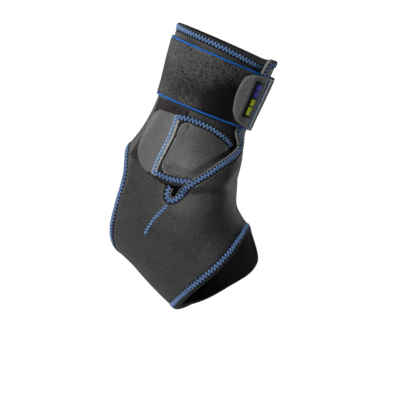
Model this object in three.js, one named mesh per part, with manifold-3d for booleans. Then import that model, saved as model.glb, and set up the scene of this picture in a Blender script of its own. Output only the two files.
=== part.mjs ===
// Wrap-around ankle brace for a right foot, in its worn form and empty.
// Millimetres. The leg runs along +Z, the toes point to +X, the little-toe side faces -Y.
// The origin is the centre of the ankle joint, in the hollow of the brace.
import * as THREE from "three";
import { mergeVertices } from "three/addons/utils/BufferGeometryUtils.js";
import Module from "manifold-3d";

const wasm = await Module();
wasm.setup();

// Overall sizes of the worn brace
const braceHeight = 230;
const braceDepth = 136;
const braceWidth = 84;

// Layers, measured outwards from the outer face of the wrap
const wrapThickness = 3;
const layerGap = 0.3;
const tabGap = 0.6;
const flapSlack = 0.5;
const seamGap = 0.4;
const bandWidth = 6.5;
const bandProud = 0.3;
const loopThickness = 1.2;
const hemThickness = 1.6;
const panelPuff = 2.2;
const hemWidth = 7;
const hookThickness = 1.4;
const elasticThickness = 1.8;
const labelThickness = 0.5;
const stepLength = 26;
const strapReliefLength = 14;

// Bands and straps, in stations from the top rim and in degrees from the front of the leg
const elasticTop = 0.38;
const elasticBottom = 2.05;
const elasticStart = -21;
const elasticEnd = 350;
const tabClear = 1;
const wingRise = 0.12;
const wingFrom = 300;
const wingTo = 345;
// The rim sinks towards the shin below the wing, out to this angle
const shinDip = 0.12;
const shinDipTo = 75;
// The wrap's flap lies full height up to one angle inside its free edge and comes down by another
const flapFull = 30;
const flapFade = 62;
// Stations where the flap rises over the crossover strap, and where it comes down to its tip
const doubleFrom = 2.15;
const doubleTo = 2.7;
const tipFrom = 4.5;
const tipTo = 4.71;
// Angles where the end of the elastic strap rises over its start
const lapFrom = 308;
const lapTo = 336;
// Stations over which the wrap's rows turn parallel to the toe edge
const toeBlendFrom = 5.4;
const bodyEnd = 7.2;

// Sections of the foot and leg. Lengths are shares of the overall sizes; roll is in degrees.
// frontX and backX follow braceDepth, frontZ and backZ braceHeight, the widths braceWidth.
const sections = [
  { at: "top rim", station: 0, frontX: 0.243, frontZ: 0.539, backX: -0.419, backZ: 0.561,
    centreY: 0, lateral: 0.464, medial: 0.464, roll: 0, square: 2 },
  { at: "calf", station: 1, frontX: 0.228, frontZ: 0.413, backX: -0.397, backZ: 0.426,
    centreY: 0, lateral: 0.429, medial: 0.429, roll: 0, square: 2 },
  { at: "strap foot", station: 2, frontX: 0.213, frontZ: 0.283, backX: -0.375, backZ: 0.291,
    centreY: 0, lateral: 0.393, medial: 0.393, roll: 0, square: 2 },
  { at: "neck", station: 3, frontX: 0.234, frontZ: 0.183, backX: -0.395, backZ: 0.157,
    centreY: 0, lateral: 0.405, medial: 0.393, roll: 0, square: 2.1 },
  { at: "crease", station: 4, frontX: 0.321, frontZ: 0.091, backX: -0.5, backZ: -0.043,
    centreY: 0, lateral: 0.429, medial: 0.405, roll: 6, square: 2.2 },
  { at: "instep", station: 5, frontX: 0.382, frontZ: 0.026, backX: -0.45, backZ: -0.279,
    centreY: 0.012, lateral: 0.476, medial: 0.44, roll: 14, square: 2.2 },
  { at: "arch", station: 6, frontX: 0.434, frontZ: -0.017, backX: -0.109, backZ: -0.376,
    centreY: 0.048, lateral: 0.512, medial: 0.476, roll: 22, square: 2.2 },
  { at: "mid foot", station: 7, frontX: 0.493, frontZ: -0.057, backX: 0.186, backZ: -0.439,
    centreY: 0.107, lateral: 0.524, medial: 0.5, roll: 26, square: 2.2 },
  { at: "toe side", station: 8, frontX: 0.618, frontZ: -0.122, backX: 0.376, backZ: -0.456,
    centreY: 0.143, lateral: 0.524, medial: 0.5, roll: 28, square: 2.2 },
];
const sectionColumns = Object.keys(sections[0]).filter((key) => key !== "at" && key !== "station");

// Free edge of the wrap: from the top rim round the wing's corner, down the shin to the crease,
// along the flap of the instep to its tip, and back up the short other side of the neck
const flapEdge = [
  { station: -0.12, angle: -3 },
  { station: -0.12, angle: 2.5 },
  { station: -0.04, angle: 7 },
  { station: 0.14, angle: 9.6 },
  { station: 0.6, angle: 11.4 },
  { station: 1.3, angle: 13 },
  { station: 2.2, angle: 13 },
  { station: 2.7, angle: 3 },
  { station: 3.08, angle: 13 },
  { station: 3.55, angle: 31 },
  { station: 4.1, angle: 47 },
  { station: 4.5, angle: 57.5 },
  { station: 4.67, angle: 61.6 },
  { station: 4.72, angle: 64 },
  { station: 4.65, angle: 66 },
  { station: 4.54, angle: 66.6 },
  { station: 4.46, angle: 66.3 },
];
const creaseRow = 7;
const creaseGap = 0.004;
// Edge of the layer that lies below the flap
const underEdge = [
  { station: -0.3, angle: -12 },
  { station: 2.6, angle: -12 },
  { station: 3.0, angle: -4 },
  { station: 3.5, angle: 20 },
  { station: 4.0, angle: 48 },
  { station: 4.2, angle: 65 },
  { station: 4.3, angle: 75 },
];
// Toe edge: its station at angles round the foot
const toeEdge = [
  { angle: -180, station: 7.15 },
  { angle: -135, station: 7.36 },
  { angle: -85, station: 7.68 },
  { angle: -50, station: 6.92 },
  { angle: -18, station: 7.2 },
  { angle: 0, station: 7.52 },
  { angle: 20, station: 7.8 },
  { angle: 45, station: 7.92 },
  { angle: 75, station: 7.82 },
  { angle: 110, station: 7.52 },
  { angle: 145, station: 7.25 },
  { angle: 180, station: 7.15 },
];
const heelHole = { station: 4.5, angle: 180, halfStations: 0.97, halfAngle: 62, square: 2.3 };

// Crossover strap: its upper and lower edges from the hook end to the end below the flap
const crossover = [
  { upStation: 2.38, upAngle: 95, lowStation: 4.12, lowAngle: 89 },
  { upStation: 2.27, upAngle: 74, lowStation: 4.28, lowAngle: 79 },
  { upStation: 2.29, upAngle: 50, lowStation: 4.38, lowAngle: 68 },
  { upStation: 2.43, upAngle: 29, lowStation: 4.42, lowAngle: 57 },
  { upStation: 2.64, upAngle: 13, lowStation: 4.4, lowAngle: 48 },
  { upStation: 2.95, upAngle: 2, lowStation: 4.36, lowAngle: 40 },
];
// Free edge of the crossover's hook tab, from its top to its lower corner
const hookEdge = [
  { station: 2.44, angle: 120 },
  { station: 2.66, angle: 127 },
  { station: 3.1, angle: 126 },
  { station: 3.5, angle: 118 },
  { station: 3.8, angle: 106 },
  { station: 4.07, angle: 92.5 },
];
const loopPanel = { top: 2.12, rearTop: 137, rearLow: 124, front: 83, lowRear: 3.72, lowFront: 4.06 };
// Free edge of the elastic strap's hook tab, at shares of its height from the top
const tabEdge = [
  { share: 0, angle: 13 },
  { share: 0.04, angle: 24 },
  { share: 0.12, angle: 31 },
  { share: 0.25, angle: 34.3 },
  { share: 0.45, angle: 35.2 },
  { share: 0.65, angle: 33.2 },
  { share: 0.8, angle: 29.5 },
  { share: 0.91, angle: 23 },
  { share: 0.97, angle: 14.5 },
  { share: 1, angle: 3 },
];
const label = { top: 0.61, bottom: 1.68, front: 6.8, rear: 20.8 };

const radians = (degrees) => (degrees * Math.PI) / 180;
const mix = (a, b, share) => a + (b - a) * share;
const ease = (from, to, x) => {
  const share = Math.min(1, Math.max(0, (x - from) / (to - from)));
  return share * share * (3 - 2 * share);
};

// Smooth value of one column of a table at a place along another column
function smoothAt(rows, key, x, column) {
  const last = rows.length - 1;
  let i = 0;
  while (i < last - 1 && x > rows[i + 1][key]) i += 1;
  const slope = (k) => {
    const before = rows[Math.max(0, k - 1)];
    const after = rows[Math.min(last, k + 1)];
    return (after[column] - before[column]) / (after[key] - before[key]);
  };
  const length = rows[i + 1][key] - rows[i][key];
  const t = (x - rows[i][key]) / length;
  const a = rows[i][column];
  const b = rows[i + 1][column];
  return (2 * t ** 3 - 3 * t ** 2 + 1) * a + (t ** 3 - 2 * t ** 2 + t) * length * slope(i) +
    (3 * t ** 2 - 2 * t ** 3) * b + (t ** 3 - t ** 2) * length * slope(i + 1);
}

// A point of the wrap's outer face. Angle 0 is the front of the leg, 90 the little-toe side.
function skin(station, angle) {
  const row = {};
  for (const column of sectionColumns) row[column] = smoothAt(sections, "station", station, column);
  const front = new THREE.Vector3(row.frontX * braceDepth, 0, row.frontZ * braceHeight);
  const back = new THREE.Vector3(row.backX * braceDepth, 0, row.backZ * braceHeight);
  const up = front.clone().sub(back);
  const half = up.length() / 2;
  up.normalize();
  const roll = radians(row.roll);
  const across = new THREE.Vector3(0, Math.cos(roll), 0).addScaledVector(up, Math.sin(roll));
  const lean = up.clone().multiplyScalar(Math.cos(roll));
  lean.y -= Math.sin(roll);
  const cosine = Math.cos(radians(angle));
  const sine = Math.sin(radians(angle));
  const power = 2 / row.square;
  const along = Math.sign(cosine) * Math.abs(cosine) ** power * half;
  const width = (sine > 0 ? row.lateral : row.medial) * braceWidth;
  const sideways = Math.sign(sine) * Math.abs(sine) ** power * width;
  const centre = front.add(back).multiplyScalar(0.5);
  centre.y = row.centreY * braceWidth;
  return centre.addScaledVector(lean, along).addScaledVector(across, -sideways);
}

// Directions of one station and one degree at a point, and the outward normal
function tangents(station, angle) {
  const stationStep = 0.01;
  const angleStep = 0.5;
  const perStation = skin(station + stationStep, angle).sub(skin(station - stationStep, angle))
    .divideScalar(2 * stationStep);
  const perDegree = skin(station, angle + angleStep).sub(skin(station, angle - angleStep))
    .divideScalar(2 * angleStep);
  const normal = perDegree.clone().cross(perStation).normalize();
  return { perStation, perDegree, normal };
}

function layer(station, angle, lift) {
  return skin(station, angle).addScaledVector(tangents(station, angle).normal, lift);
}

// The place that lies a distance to the left of a path's direction, on the surface
function aside(place, direction, distance) {
  const { perStation, perDegree, normal } = tangents(place.station, place.angle);
  const heading = perStation.clone().multiplyScalar(direction.station)
    .addScaledVector(perDegree, direction.angle);
  const way = normal.clone().cross(heading).normalize().multiplyScalar(distance);
  const a = perStation.dot(perStation);
  const b = perStation.dot(perDegree);
  const d = perDegree.dot(perDegree);
  const e = perStation.dot(way);
  const f = perDegree.dot(way);
  const whole = a * d - b * b;
  return {
    station: place.station + (d * e - b * f) / whole,
    angle: place.angle + (a * f - b * e) / whole,
  };
}

// A smooth path through places, with a place and a direction at each share of it
function path(places) {
  const curve = new THREE.SplineCurve(places.map((p) => new THREE.Vector2(p.station, p.angle)));
  const at = (share) => {
    const p = curve.getPoint(share);
    return { station: p.x, angle: p.y };
  };
  const direction = (share) => {
    const step = 0.002;
    const before = at(Math.max(0, share - step));
    const after = at(Math.min(1, share + step));
    return { station: after.station - before.station, angle: after.angle - before.angle };
  };
  const beside = (share, distance) => aside(at(share), direction(share), distance);
  return { at, beside };
}

const flapPath = path(flapEdge);
// Share of the path where it, moved aside by a distance, reaches furthest towards the toes
function farShare(distance) {
  const steps = 300;
  const stationAt = (k) => flapPath.beside(k / steps, distance).station;
  let best = 0;
  for (let k = 1; k <= steps; k += 1) if (stationAt(k) > stationAt(best)) best = k;
  return best / steps;
}
const tipShare = farShare(0);
const creaseShare = creaseRow / (flapEdge.length - 1);

// A stretch of the flap's path moved sideways, as a table that rises with the station
function sideTable(from, to, distance) {
  const steps = 120;
  const leastRise = 0.004;
  const rows = [];
  for (let k = 0; k <= steps; k += 1) {
    const place = flapPath.beside(mix(from, to, k / steps), distance);
    if (!rows.length || place.station > rows[rows.length - 1].station + leastRise) rows.push(place);
  }
  return rows;
}

function angleAt(rows, station) {
  let i = 0;
  while (i < rows.length - 2 && station > rows[i + 1].station) i += 1;
  const share = (station - rows[i].station) / (rows[i + 1].station - rows[i].station);
  return mix(rows[i].angle, rows[i + 1].angle, Math.min(1, Math.max(0, share)));
}

const flapRows = sideTable(0, tipShare, 0);

// How far the flap is lifted above the layer below it
function flapHeight(station) {
  const single = wrapThickness + bandProud + flapSlack;
  const double = wrapThickness + hemThickness + layerGap + flapSlack;
  return mix(single, double, ease(doubleFrom, doubleTo, station)) * (1 - ease(tipFrom, tipTo, station));
}

// Lift of the wrap at an angle inside the flap; the angle runs up to the flap's free edge
function flapLift(station, angle) {
  const inside = angleAt(flapRows, station) - angle;
  return flapHeight(station) * (1 - ease(flapFull, flapFade, inside));
}

// Height that the elastic strap rides on: the flap, then a ramp down from its free edge
function strapBase(station, angle) {
  const turned = ((angle + 180) % 360 + 360) % 360 - 180;
  const edge = angleAt(flapRows, station);
  if (turned < edge) return flapLift(station, turned);
  return flapHeight(station) * (1 - ease(edge, edge + stepLength, turned));
}

// Closed solid from a grid of places with an inner and an outer face.
// place(u, v, side) is a point; side 0 is the inner face, 1 the outer one.
function sheet({ rows, columns, place, ring = false, openRow = () => true }) {
  const points = [];
  const faces = [];
  for (let side = 0; side < 2; side += 1)
    for (let i = 0; i <= rows; i += 1)
      for (let j = 0; j <= columns; j += 1) points.push(place(i / rows, j / columns, side));
  const index = (side, i, j) => (side * (rows + 1) + i) * (columns + 1) + j;
  const quad = (a, b, c, d) => faces.push(a, b, c, a, c, d);
  for (let i = 0; i < rows; i += 1)
    for (let j = 0; j < columns; j += 1) {
      quad(index(1, i, j), index(1, i + 1, j), index(1, i + 1, j + 1), index(1, i, j + 1));
      quad(index(0, i, j), index(0, i, j + 1), index(0, i + 1, j + 1), index(0, i + 1, j));
    }
  for (let j = 0; j < columns; j += 1) {
    quad(index(0, 0, j), index(1, 0, j), index(1, 0, j + 1), index(0, 0, j + 1));
    quad(index(1, rows, j), index(0, rows, j), index(0, rows, j + 1), index(1, rows, j + 1));
  }
  if (!ring)
    for (let i = 0; i < rows; i += 1) {
      if (!openRow(i)) continue;
      quad(index(1, i, 0), index(0, i, 0), index(0, i + 1, 0), index(1, i + 1, 0));
      quad(index(0, i, columns), index(1, i, columns), index(1, i + 1, columns), index(0, i + 1, columns));
    }
  return closedGeometry(points, faces);
}

// Merged geometry without flat faces, turned so that its faces point out
function closedGeometry(points, faces) {
  const loose = new THREE.BufferGeometry().setFromPoints(points);
  loose.setIndex(faces);
  const merged = mergeVertices(loose, 1e-4);
  const index = Array.from(merged.index.array);
  const kept = [];
  for (let k = 0; k < index.length; k += 3) {
    const [a, b, c] = index.slice(k, k + 3);
    if (a !== b && b !== c && c !== a) kept.push(a, b, c);
  }
  if (volumeOf(merged, kept) < 0)
    for (let k = 0; k < kept.length; k += 3) [kept[k + 1], kept[k + 2]] = [kept[k + 2], kept[k + 1]];
  merged.setIndex(kept);
  return merged;
}

function volumeOf(geometry, index) {
  const position = geometry.getAttribute("position");
  const corner = (k) => new THREE.Vector3().fromBufferAttribute(position, k);
  let volume = 0;
  for (let k = 0; k < index.length; k += 3)
    volume += corner(index[k]).dot(corner(index[k + 1]).cross(corner(index[k + 2]))) / 6;
  return volume;
}

function solidOf(geometry) {
  return new wasm.Manifold(new wasm.Mesh({
    numProp: 3,
    vertProperties: new Float32Array(geometry.getAttribute("position").array),
    triVerts: new Uint32Array(geometry.index.array),
  }));
}

function geometryOf(solid) {
  const mesh = solid.getMesh();
  const geometry = new THREE.BufferGeometry();
  geometry.setAttribute("position", new THREE.BufferAttribute(mesh.vertProperties, 3));
  geometry.setIndex(new THREE.BufferAttribute(mesh.triVerts, 1));
  return geometry;
}

// Length of one station at a place, for sizes given along the leg
const stationLength = (station, angle) => tangents(station, angle).perStation.length();
const degreeLength = (station, angle) => tangents(station, angle).perDegree.length();

const turn = (angle) => ((angle + 180) % 360 + 360) % 360 - 180;
const toeStation = (angle) => smoothAt(toeEdge, "angle", turn(angle), "station");
const toeInset = (angle, distance) => {
  const edge = toeStation(angle);
  return edge - distance / stationLength(edge, angle);
};
// Top edge: the flap's wing stands a little above the rim, which sinks below it
const rimStation = (angle) =>
  shinDip * (1 - ease(0, shinDipTo, angle)) - wingRise * ease(wingFrom, wingTo, angle);
const rimInset = (angle, distance) => {
  const edge = rimStation(angle);
  return edge + distance / stationLength(edge, angle);
};

// Heel opening: the loop's place at an angle round it, moved outwards by a distance
function heelLoop(share, distance) {
  const rounded = (x) => Math.sign(x) * Math.abs(x) ** (2 / heelHole.square);
  const at = (s) => ({
    station: heelHole.station - heelHole.halfStations * rounded(Math.cos(s * 2 * Math.PI)),
    angle: heelHole.angle + heelHole.halfAngle * rounded(Math.sin(s * 2 * Math.PI)),
  });
  const step = 0.004;
  const before = at(share - step);
  const after = at(share + step);
  const direction = { station: after.station - before.station, angle: after.angle - before.angle };
  return distance ? aside(at(share), direction, -distance) : at(share);
}

const bandInset = bandWidth + seamGap;
const bodyTipShare = farShare(bandInset);
const flapBodyRows = sideTable(0, bodyTipShare, bandInset);
const neckBodyRows = sideTable(1, bodyTipShare, bandInset);
const { station: bodyTip, angle: tipAngle } = flapPath.beside(bodyTipShare, bandInset);

// First and last angle of the wrap at a station
function bodyAngles(station) {
  if (station >= bodyTip) return [tipAngle, tipAngle + 360];
  const neckTop = neckBodyRows[0].station;
  const start = station < neckTop ? angleAt(underEdge, station) : angleAt(neckBodyRows, station);
  return [start, 360 + angleAt(flapBodyRows, station)];
}

// Stations of the wrap's rows, closer together round the tip of the neck
function bodyStations() {
  const creaseFrom = 2.16;
  const fineFrom = 4.3;
  const coarse = 0.4;
  const medium = 0.16;
  const tipSteps = 10;
  const list = [];
  for (let s = 0; s < creaseFrom - medium; s += coarse) list.push(s);
  for (let s = creaseFrom; s < fineFrom - medium / 2; s += medium) list.push(s);
  for (let k = tipSteps; k >= 0; k -= 1) list.push(mix(bodyTip, fineFrom, (k / tipSteps) ** 2));
  const rest = Math.round((bodyEnd - bodyTip) / coarse);
  for (let k = 1; k <= rest; k += 1) list.push(mix(bodyTip, bodyEnd, k / rest));
  return list;
}

const wrapLift = (station, angle) => (angle > 180 ? flapLift(station, angle - 360) : 0);

function wrapBody() {
  const stations = bodyStations();
  const rows = stations.length - 1;
  const body = sheet({
    rows,
    columns: 41,
    openRow: (i) => stations[i] < bodyTip - 1e-6,
    place: (u, v, side) => {
      const nominal = stations[Math.round(u * rows)];
      const [start, end] = bodyAngles(nominal);
      const angle = mix(start, end, v);
      const station = nominal + rimInset(angle, bandInset) * (1 - ease(0, 1, nominal)) +
        (toeInset(angle, bandInset) - bodyEnd) * ease(toeBlendFrom, bodyEnd, nominal);
      return layer(station, angle, wrapLift(station, angle) - (side ? 0 : wrapThickness));
    },
  });
  const reach = 12;
  const plug = sheet({
    rows: 6,
    columns: 48,
    ring: true,
    place: (u, v, side) => {
      const edge = heelLoop(v, bandInset);
      const station = mix(heelHole.station, edge.station, u);
      const angle = mix(heelHole.angle, edge.angle, u);
      return layer(station, angle, side ? reach : -reach);
    },
  });
  return geometryOf(solidOf(body).subtract(solidOf(plug)));
}

function topRimBinding() {
  const from = underEdge[0].angle;
  const to = 360 + flapEdge[0].angle - seamGap / degreeLength(0, 0);
  return sheet({
    rows: 1,
    columns: 60,
    place: (u, v, side) => {
      const angle = mix(from, to, v);
      const station = mix(rimStation(angle), rimInset(angle, bandWidth), u);
      return layer(station, angle, wrapLift(station, angle) + (side ? bandProud : -wrapThickness));
    },
  });
}

function toeRimBinding() {
  return sheet({
    rows: 1,
    columns: 60,
    ring: true,
    place: (u, v, side) => {
      const angle = mix(0, 360, v);
      const station = mix(toeInset(angle, bandWidth), toeStation(angle), u);
      return layer(station, angle, side ? bandProud : -wrapThickness);
    },
  });
}

function heelRimBinding() {
  return sheet({
    rows: 1,
    columns: 48,
    ring: true,
    place: (u, v, side) => {
      const { station, angle } = heelLoop(v, mix(0, bandWidth, u));
      return layer(station, angle, side ? bandProud : -wrapThickness);
    },
  });
}

// Band along a stretch of the flap's free edge
function edgeBinding(from, to, columns) {
  return sheet({
    rows: 1,
    columns,
    place: (u, v, side) => {
      const share = mix(from, to, v);
      const { station, angle } = flapPath.beside(share, mix(0, bandWidth, u));
      const lift = share < tipShare ? flapLift(station, angle) : 0;
      return layer(station, angle, lift + (side ? bandProud : -wrapThickness));
    },
  });
}

function loopPanelSheet() {
  return sheet({
    rows: 10,
    columns: 8,
    place: (u, v, side) => {
      const low = mix(loopPanel.lowFront, loopPanel.lowRear, v);
      const station = mix(loopPanel.top, low, u);
      const rear = mix(loopPanel.rearTop, loopPanel.rearLow, u);
      return layer(station, mix(loopPanel.front, rear, v), layerGap + (side ? loopThickness : 0));
    },
  });
}

// Place on the crossover strap: u from the hook end to the hidden end, v from the upper edge down
function crossoverPlace(u, v) {
  const rows = crossover.map((row, k) => ({ ...row, share: k / (crossover.length - 1) }));
  const column = (name) => smoothAt(rows, "share", u, name);
  return {
    station: mix(column("upStation"), column("lowStation"), v),
    angle: mix(column("upAngle"), column("lowAngle"), v),
  };
}

function crossoverFaces(u, v) {
  const { station, angle } = crossoverPlace(u, v);
  const ontoPanel = ease(loopPanel.front - 10, loopPanel.front - 1, angle);
  const low = layerGap + (loopThickness + layerGap) * ontoPanel;
  const top = crossoverPlace(u, 0);
  const bottom = crossoverPlace(u, 1);
  const across = skin(top.station, top.angle).distanceTo(skin(bottom.station, bottom.angle));
  const fromHem = Math.min(v, 1 - v) * across;
  const left = crossoverPlace(0, v);
  const fromHook = skin(station, angle).distanceTo(skin(left.station, left.angle));
  const fromFlap = angle - angleAt(flapRows, station);
  const puff = panelPuff * ease(hemWidth - 1, hemWidth + 3, fromHem) *
    ease(hemWidth - 1, hemWidth + 3, fromHook) * ease(1, strapReliefLength, fromFlap);
  return { low, high: low + hemThickness + puff };
}

function crossoverStrap() {
  return sheet({
    rows: 18,
    columns: 16,
    place: (u, v, side) => {
      const { station, angle } = crossoverPlace(u, v);
      const { low, high } = crossoverFaces(u, v);
      return layer(station, angle, side ? high : low);
    },
  });
}

function crossoverHookTab() {
  const shares = hookEdge.map((row, k) => ({ ...row, share: k / (hookEdge.length - 1) }));
  const low = layerGap + loopThickness + layerGap;
  const seamTop = 0.01;
  const seamBottom = 0.975;
  return sheet({
    rows: 14,
    columns: 6,
    place: (u, v, side) => {
      const seam = crossoverPlace(0, mix(seamTop, seamBottom, u));
      const start = seam.angle + seamGap / degreeLength(seam.station, seam.angle);
      const free = {
        station: smoothAt(shares, "share", u, "station"),
        angle: smoothAt(shares, "share", u, "angle"),
      };
      const station = mix(seam.station, free.station, v);
      return layer(station, mix(start, free.angle, v), low + (side ? hookThickness : 0));
    },
  });
}

function elasticStrap() {
  return sheet({
    rows: 5,
    columns: 72,
    place: (u, v, side) => {
      const angle = mix(elasticStart, elasticEnd, v);
      const station = mix(elasticTop, elasticBottom, u);
      const over = (elasticThickness + layerGap) * ease(lapFrom, lapTo, angle);
      const low = strapBase(station, angle) + bandProud + layerGap + over;
      return layer(station, angle, low + (side ? elasticThickness : 0));
    },
  });
}

const tabBase = (station, angle) =>
  strapBase(station, angle) + bandProud + layerGap + elasticThickness + tabGap;
const tabStart = elasticEnd + tabClear - 360;

function strapHookTab() {
  const inset = 0.03;
  return sheet({
    rows: 18,
    columns: 10,
    place: (u, v, side) => {
      const height = (1 - Math.cos(Math.PI * u)) / 2;
      const station = mix(elasticTop + inset, elasticBottom - inset, height);
      const angle = mix(tabStart, smoothAt(tabEdge, "share", height, "angle"), v);
      return layer(station, angle, tabBase(station, angle) + (side ? hookThickness : 0));
    },
  });
}

function strapLabel() {
  return sheet({
    rows: 4,
    columns: 4,
    place: (u, v, side) => {
      const station = mix(label.top, label.bottom, u);
      const angle = mix(label.front, label.rear, v);
      const low = tabBase(station, angle) + hookThickness + layerGap;
      return layer(station, angle, low + (side ? labelThickness : 0));
    },
  });
}

const finish = (color, roughness) => new THREE.MeshStandardMaterial({ color, roughness, metalness: 0 });
const neoprene = finish(0x3f4242, 0.85);
const bandTape = finish(0x3a3f4a, 0.8);
const pile = finish(0x1c1917, 1);
const smoothGrey = finish(0x55585a, 0.6);
const blackPlush = finish(0x18191b, 1);
const weave = finish(0x0f1216, 0.7);

const brace = new THREE.Group();
function add(name, geometry, material) {
  geometry.computeVertexNormals();
  const mesh = new THREE.Mesh(geometry, material);
  mesh.name = name;
  brace.add(mesh);
}
add("wrap_body", wrapBody(), neoprene);
add("top_rim_binding", topRimBinding(), bandTape);
add("toe_rim_binding", toeRimBinding(), bandTape);
add("heel_rim_binding", heelRimBinding(), bandTape);
add("front_edge_binding", edgeBinding(0, creaseShare, 36), bandTape);
add("neck_binding", edgeBinding(creaseShare + creaseGap, 1, 60), bandTape);
add("loop_panel", loopPanelSheet(), pile);
add("crossover_strap", crossoverStrap(), neoprene);
add("crossover_hook_tab", crossoverHookTab(), smoothGrey);
add("elastic_strap", elasticStrap(), blackPlush);
add("strap_hook_tab", strapHookTab(), smoothGrey);
add("strap_label", strapLabel(), weave);
export default brace;
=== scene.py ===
# Wrap-around ankle brace for a right foot, worn form, in a plain studio
import math
from functools import partial

import bmesh
import bpy
import numpy as np
from mathutils import Matrix, Vector
from mathutils.geometry import delaunay_2d_cdt


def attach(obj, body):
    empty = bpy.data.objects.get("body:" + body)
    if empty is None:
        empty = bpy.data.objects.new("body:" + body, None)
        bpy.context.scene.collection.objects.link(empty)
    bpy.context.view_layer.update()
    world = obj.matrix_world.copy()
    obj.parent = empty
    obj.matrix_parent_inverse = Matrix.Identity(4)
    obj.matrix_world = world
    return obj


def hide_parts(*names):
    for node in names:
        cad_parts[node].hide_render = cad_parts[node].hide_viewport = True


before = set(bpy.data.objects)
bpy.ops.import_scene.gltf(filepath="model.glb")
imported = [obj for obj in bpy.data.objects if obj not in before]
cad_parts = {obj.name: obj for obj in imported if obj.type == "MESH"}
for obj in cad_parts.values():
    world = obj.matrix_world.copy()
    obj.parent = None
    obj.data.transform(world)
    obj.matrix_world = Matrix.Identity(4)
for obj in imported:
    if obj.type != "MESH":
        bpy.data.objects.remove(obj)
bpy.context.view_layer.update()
print("frame loaded,", len(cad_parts), "nodes")

mm = 0.001
fullTurn = 6.2832

# Form of the brace: stations run from the top rim to the toes, angles from the shin

form = {
    "height": 230, "depth": 136, "width": 84,
    "wrap": 3, "layerGap": 0.3, "tabGap": 0.6, "flapSlack": 0.5, "seamGap": 0.4,
    "band": 6.5, "bandProud": 0.3,
    "frontX": [0.243, 0.228, 0.213, 0.234, 0.321, 0.382, 0.434, 0.493, 0.618],
    "frontZ": [0.539, 0.413, 0.283, 0.183, 0.091, 0.026, -0.017, -0.057, -0.122],
    "backX": [-0.419, -0.397, -0.375, -0.395, -0.5, -0.45, -0.109, 0.186, 0.376],
    "backZ": [0.561, 0.426, 0.291, 0.157, -0.043, -0.279, -0.376, -0.439, -0.456],
    "centreY": [0, 0, 0, 0, 0, 0.012, 0.048, 0.107, 0.143],
    "lateral": [0.464, 0.429, 0.393, 0.405, 0.429, 0.476, 0.512, 0.524, 0.524],
    "medial": [0.464, 0.429, 0.393, 0.393, 0.405, 0.44, 0.476, 0.5, 0.5],
    "roll": [0, 0, 0, 0, 6, 14, 22, 26, 28],
    "square": [2, 2, 2, 2.1, 2.2, 2.2, 2.2, 2.2, 2.2],
    "flapEdge": [(-0.12, -3), (-0.12, 2.5), (-0.04, 7), (0.14, 9.6), (0.6, 11.4), (1.3, 13), (2.2, 13),
                 (2.7, 3), (3.08, 13), (3.55, 31), (4.1, 47), (4.5, 57.5), (4.67, 61.6), (4.72, 64),
                 (4.65, 66), (4.54, 66.6), (4.46, 66.3)],
    "creaseRow": 7,
    "underEdge": [(-0.3, -12), (2.6, -12), (3.0, -4), (3.5, 20), (4.0, 48), (4.2, 65), (4.3, 75)],
    "toeEdge": [(-180, 7.15), (-135, 7.36), (-85, 7.68), (-50, 6.92), (-18, 7.2), (0, 7.52), (20, 7.8),
                (45, 7.92), (75, 7.82), (110, 7.52), (145, 7.25), (180, 7.15)],
    "heelHole": {"station": 4.5, "angle": 180, "halfStations": 0.97, "halfAngle": 62, "square": 2.3},
}
stations = np.arange(9.0)


def smoothColumn(xs, ys, x):
    xs, ys, x = (np.asarray(v, float) for v in (xs, ys, x))
    slope = np.empty_like(ys)
    slope[1:-1] = (ys[2:] - ys[:-2]) / (xs[2:] - xs[:-2])
    slope[0] = (ys[1] - ys[0]) / (xs[1] - xs[0])
    slope[-1] = (ys[-1] - ys[-2]) / (xs[-1] - xs[-2])
    i = np.clip(np.searchsorted(xs, x) - 1, 0, len(xs) - 2)
    h = xs[i + 1] - xs[i]
    t = (x - xs[i]) / h
    return ((2 * t**3 - 3 * t**2 + 1) * ys[i] + (t**3 - 2 * t**2 + t) * h * slope[i]
            + (3 * t**2 - 2 * t**3) * ys[i + 1] + (t**3 - t**2) * h * slope[i + 1])


def ease(low, high, x):
    t = np.clip((np.asarray(x, float) - low) / (high - low), 0, 1)
    return t * t * (3 - 2 * t)


def easedSteps(count):  # shares from 0 to 1, closer together at both ends
    return np.sin(np.linspace(-np.pi / 2, np.pi / 2, count + 1)) / 2 + 0.5


def roundDrop(near):  # drop of a rounded edge, in radii, at a share of the radius from it
    return 1 - np.sqrt(1 - (1 - near) ** 2)


def mix(a, b, t):
    return a + (b - a) * t


def power(x, p):
    return np.sign(x) * np.abs(x) ** p


def skin(s, a):  # outer face of the wrap, in millimetres
    s, a = np.broadcast_arrays(np.asarray(s, float), np.asarray(a, float))
    row = {k: smoothColumn(stations, form[k], s)
           for k in ("frontX", "frontZ", "backX", "backZ", "centreY", "lateral", "medial", "roll", "square")}
    zero = np.zeros_like(s)
    front = np.stack([row["frontX"] * form["depth"], zero, row["frontZ"] * form["height"]], -1)
    back = np.stack([row["backX"] * form["depth"], zero, row["backZ"] * form["height"]], -1)
    up = front - back
    long = np.linalg.norm(up, axis=-1, keepdims=True)
    up /= long
    roll = np.radians(row["roll"])[..., None]
    side = np.array([0.0, 1.0, 0.0])
    across = side * np.cos(roll) + up * np.sin(roll)
    lean = up * np.cos(roll) - side * np.sin(roll)
    cosine, sine = np.cos(np.radians(a)), np.sin(np.radians(a))
    p = 2 / row["square"]
    along = power(cosine, p)[..., None] * long / 2
    wide = np.where(sine > 0, row["lateral"], row["medial"]) * form["width"]
    centre = (front + back) / 2
    centre[..., 1] = row["centreY"] * form["width"]
    return centre + lean * along - across * (power(sine, p) * wide)[..., None]


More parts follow.
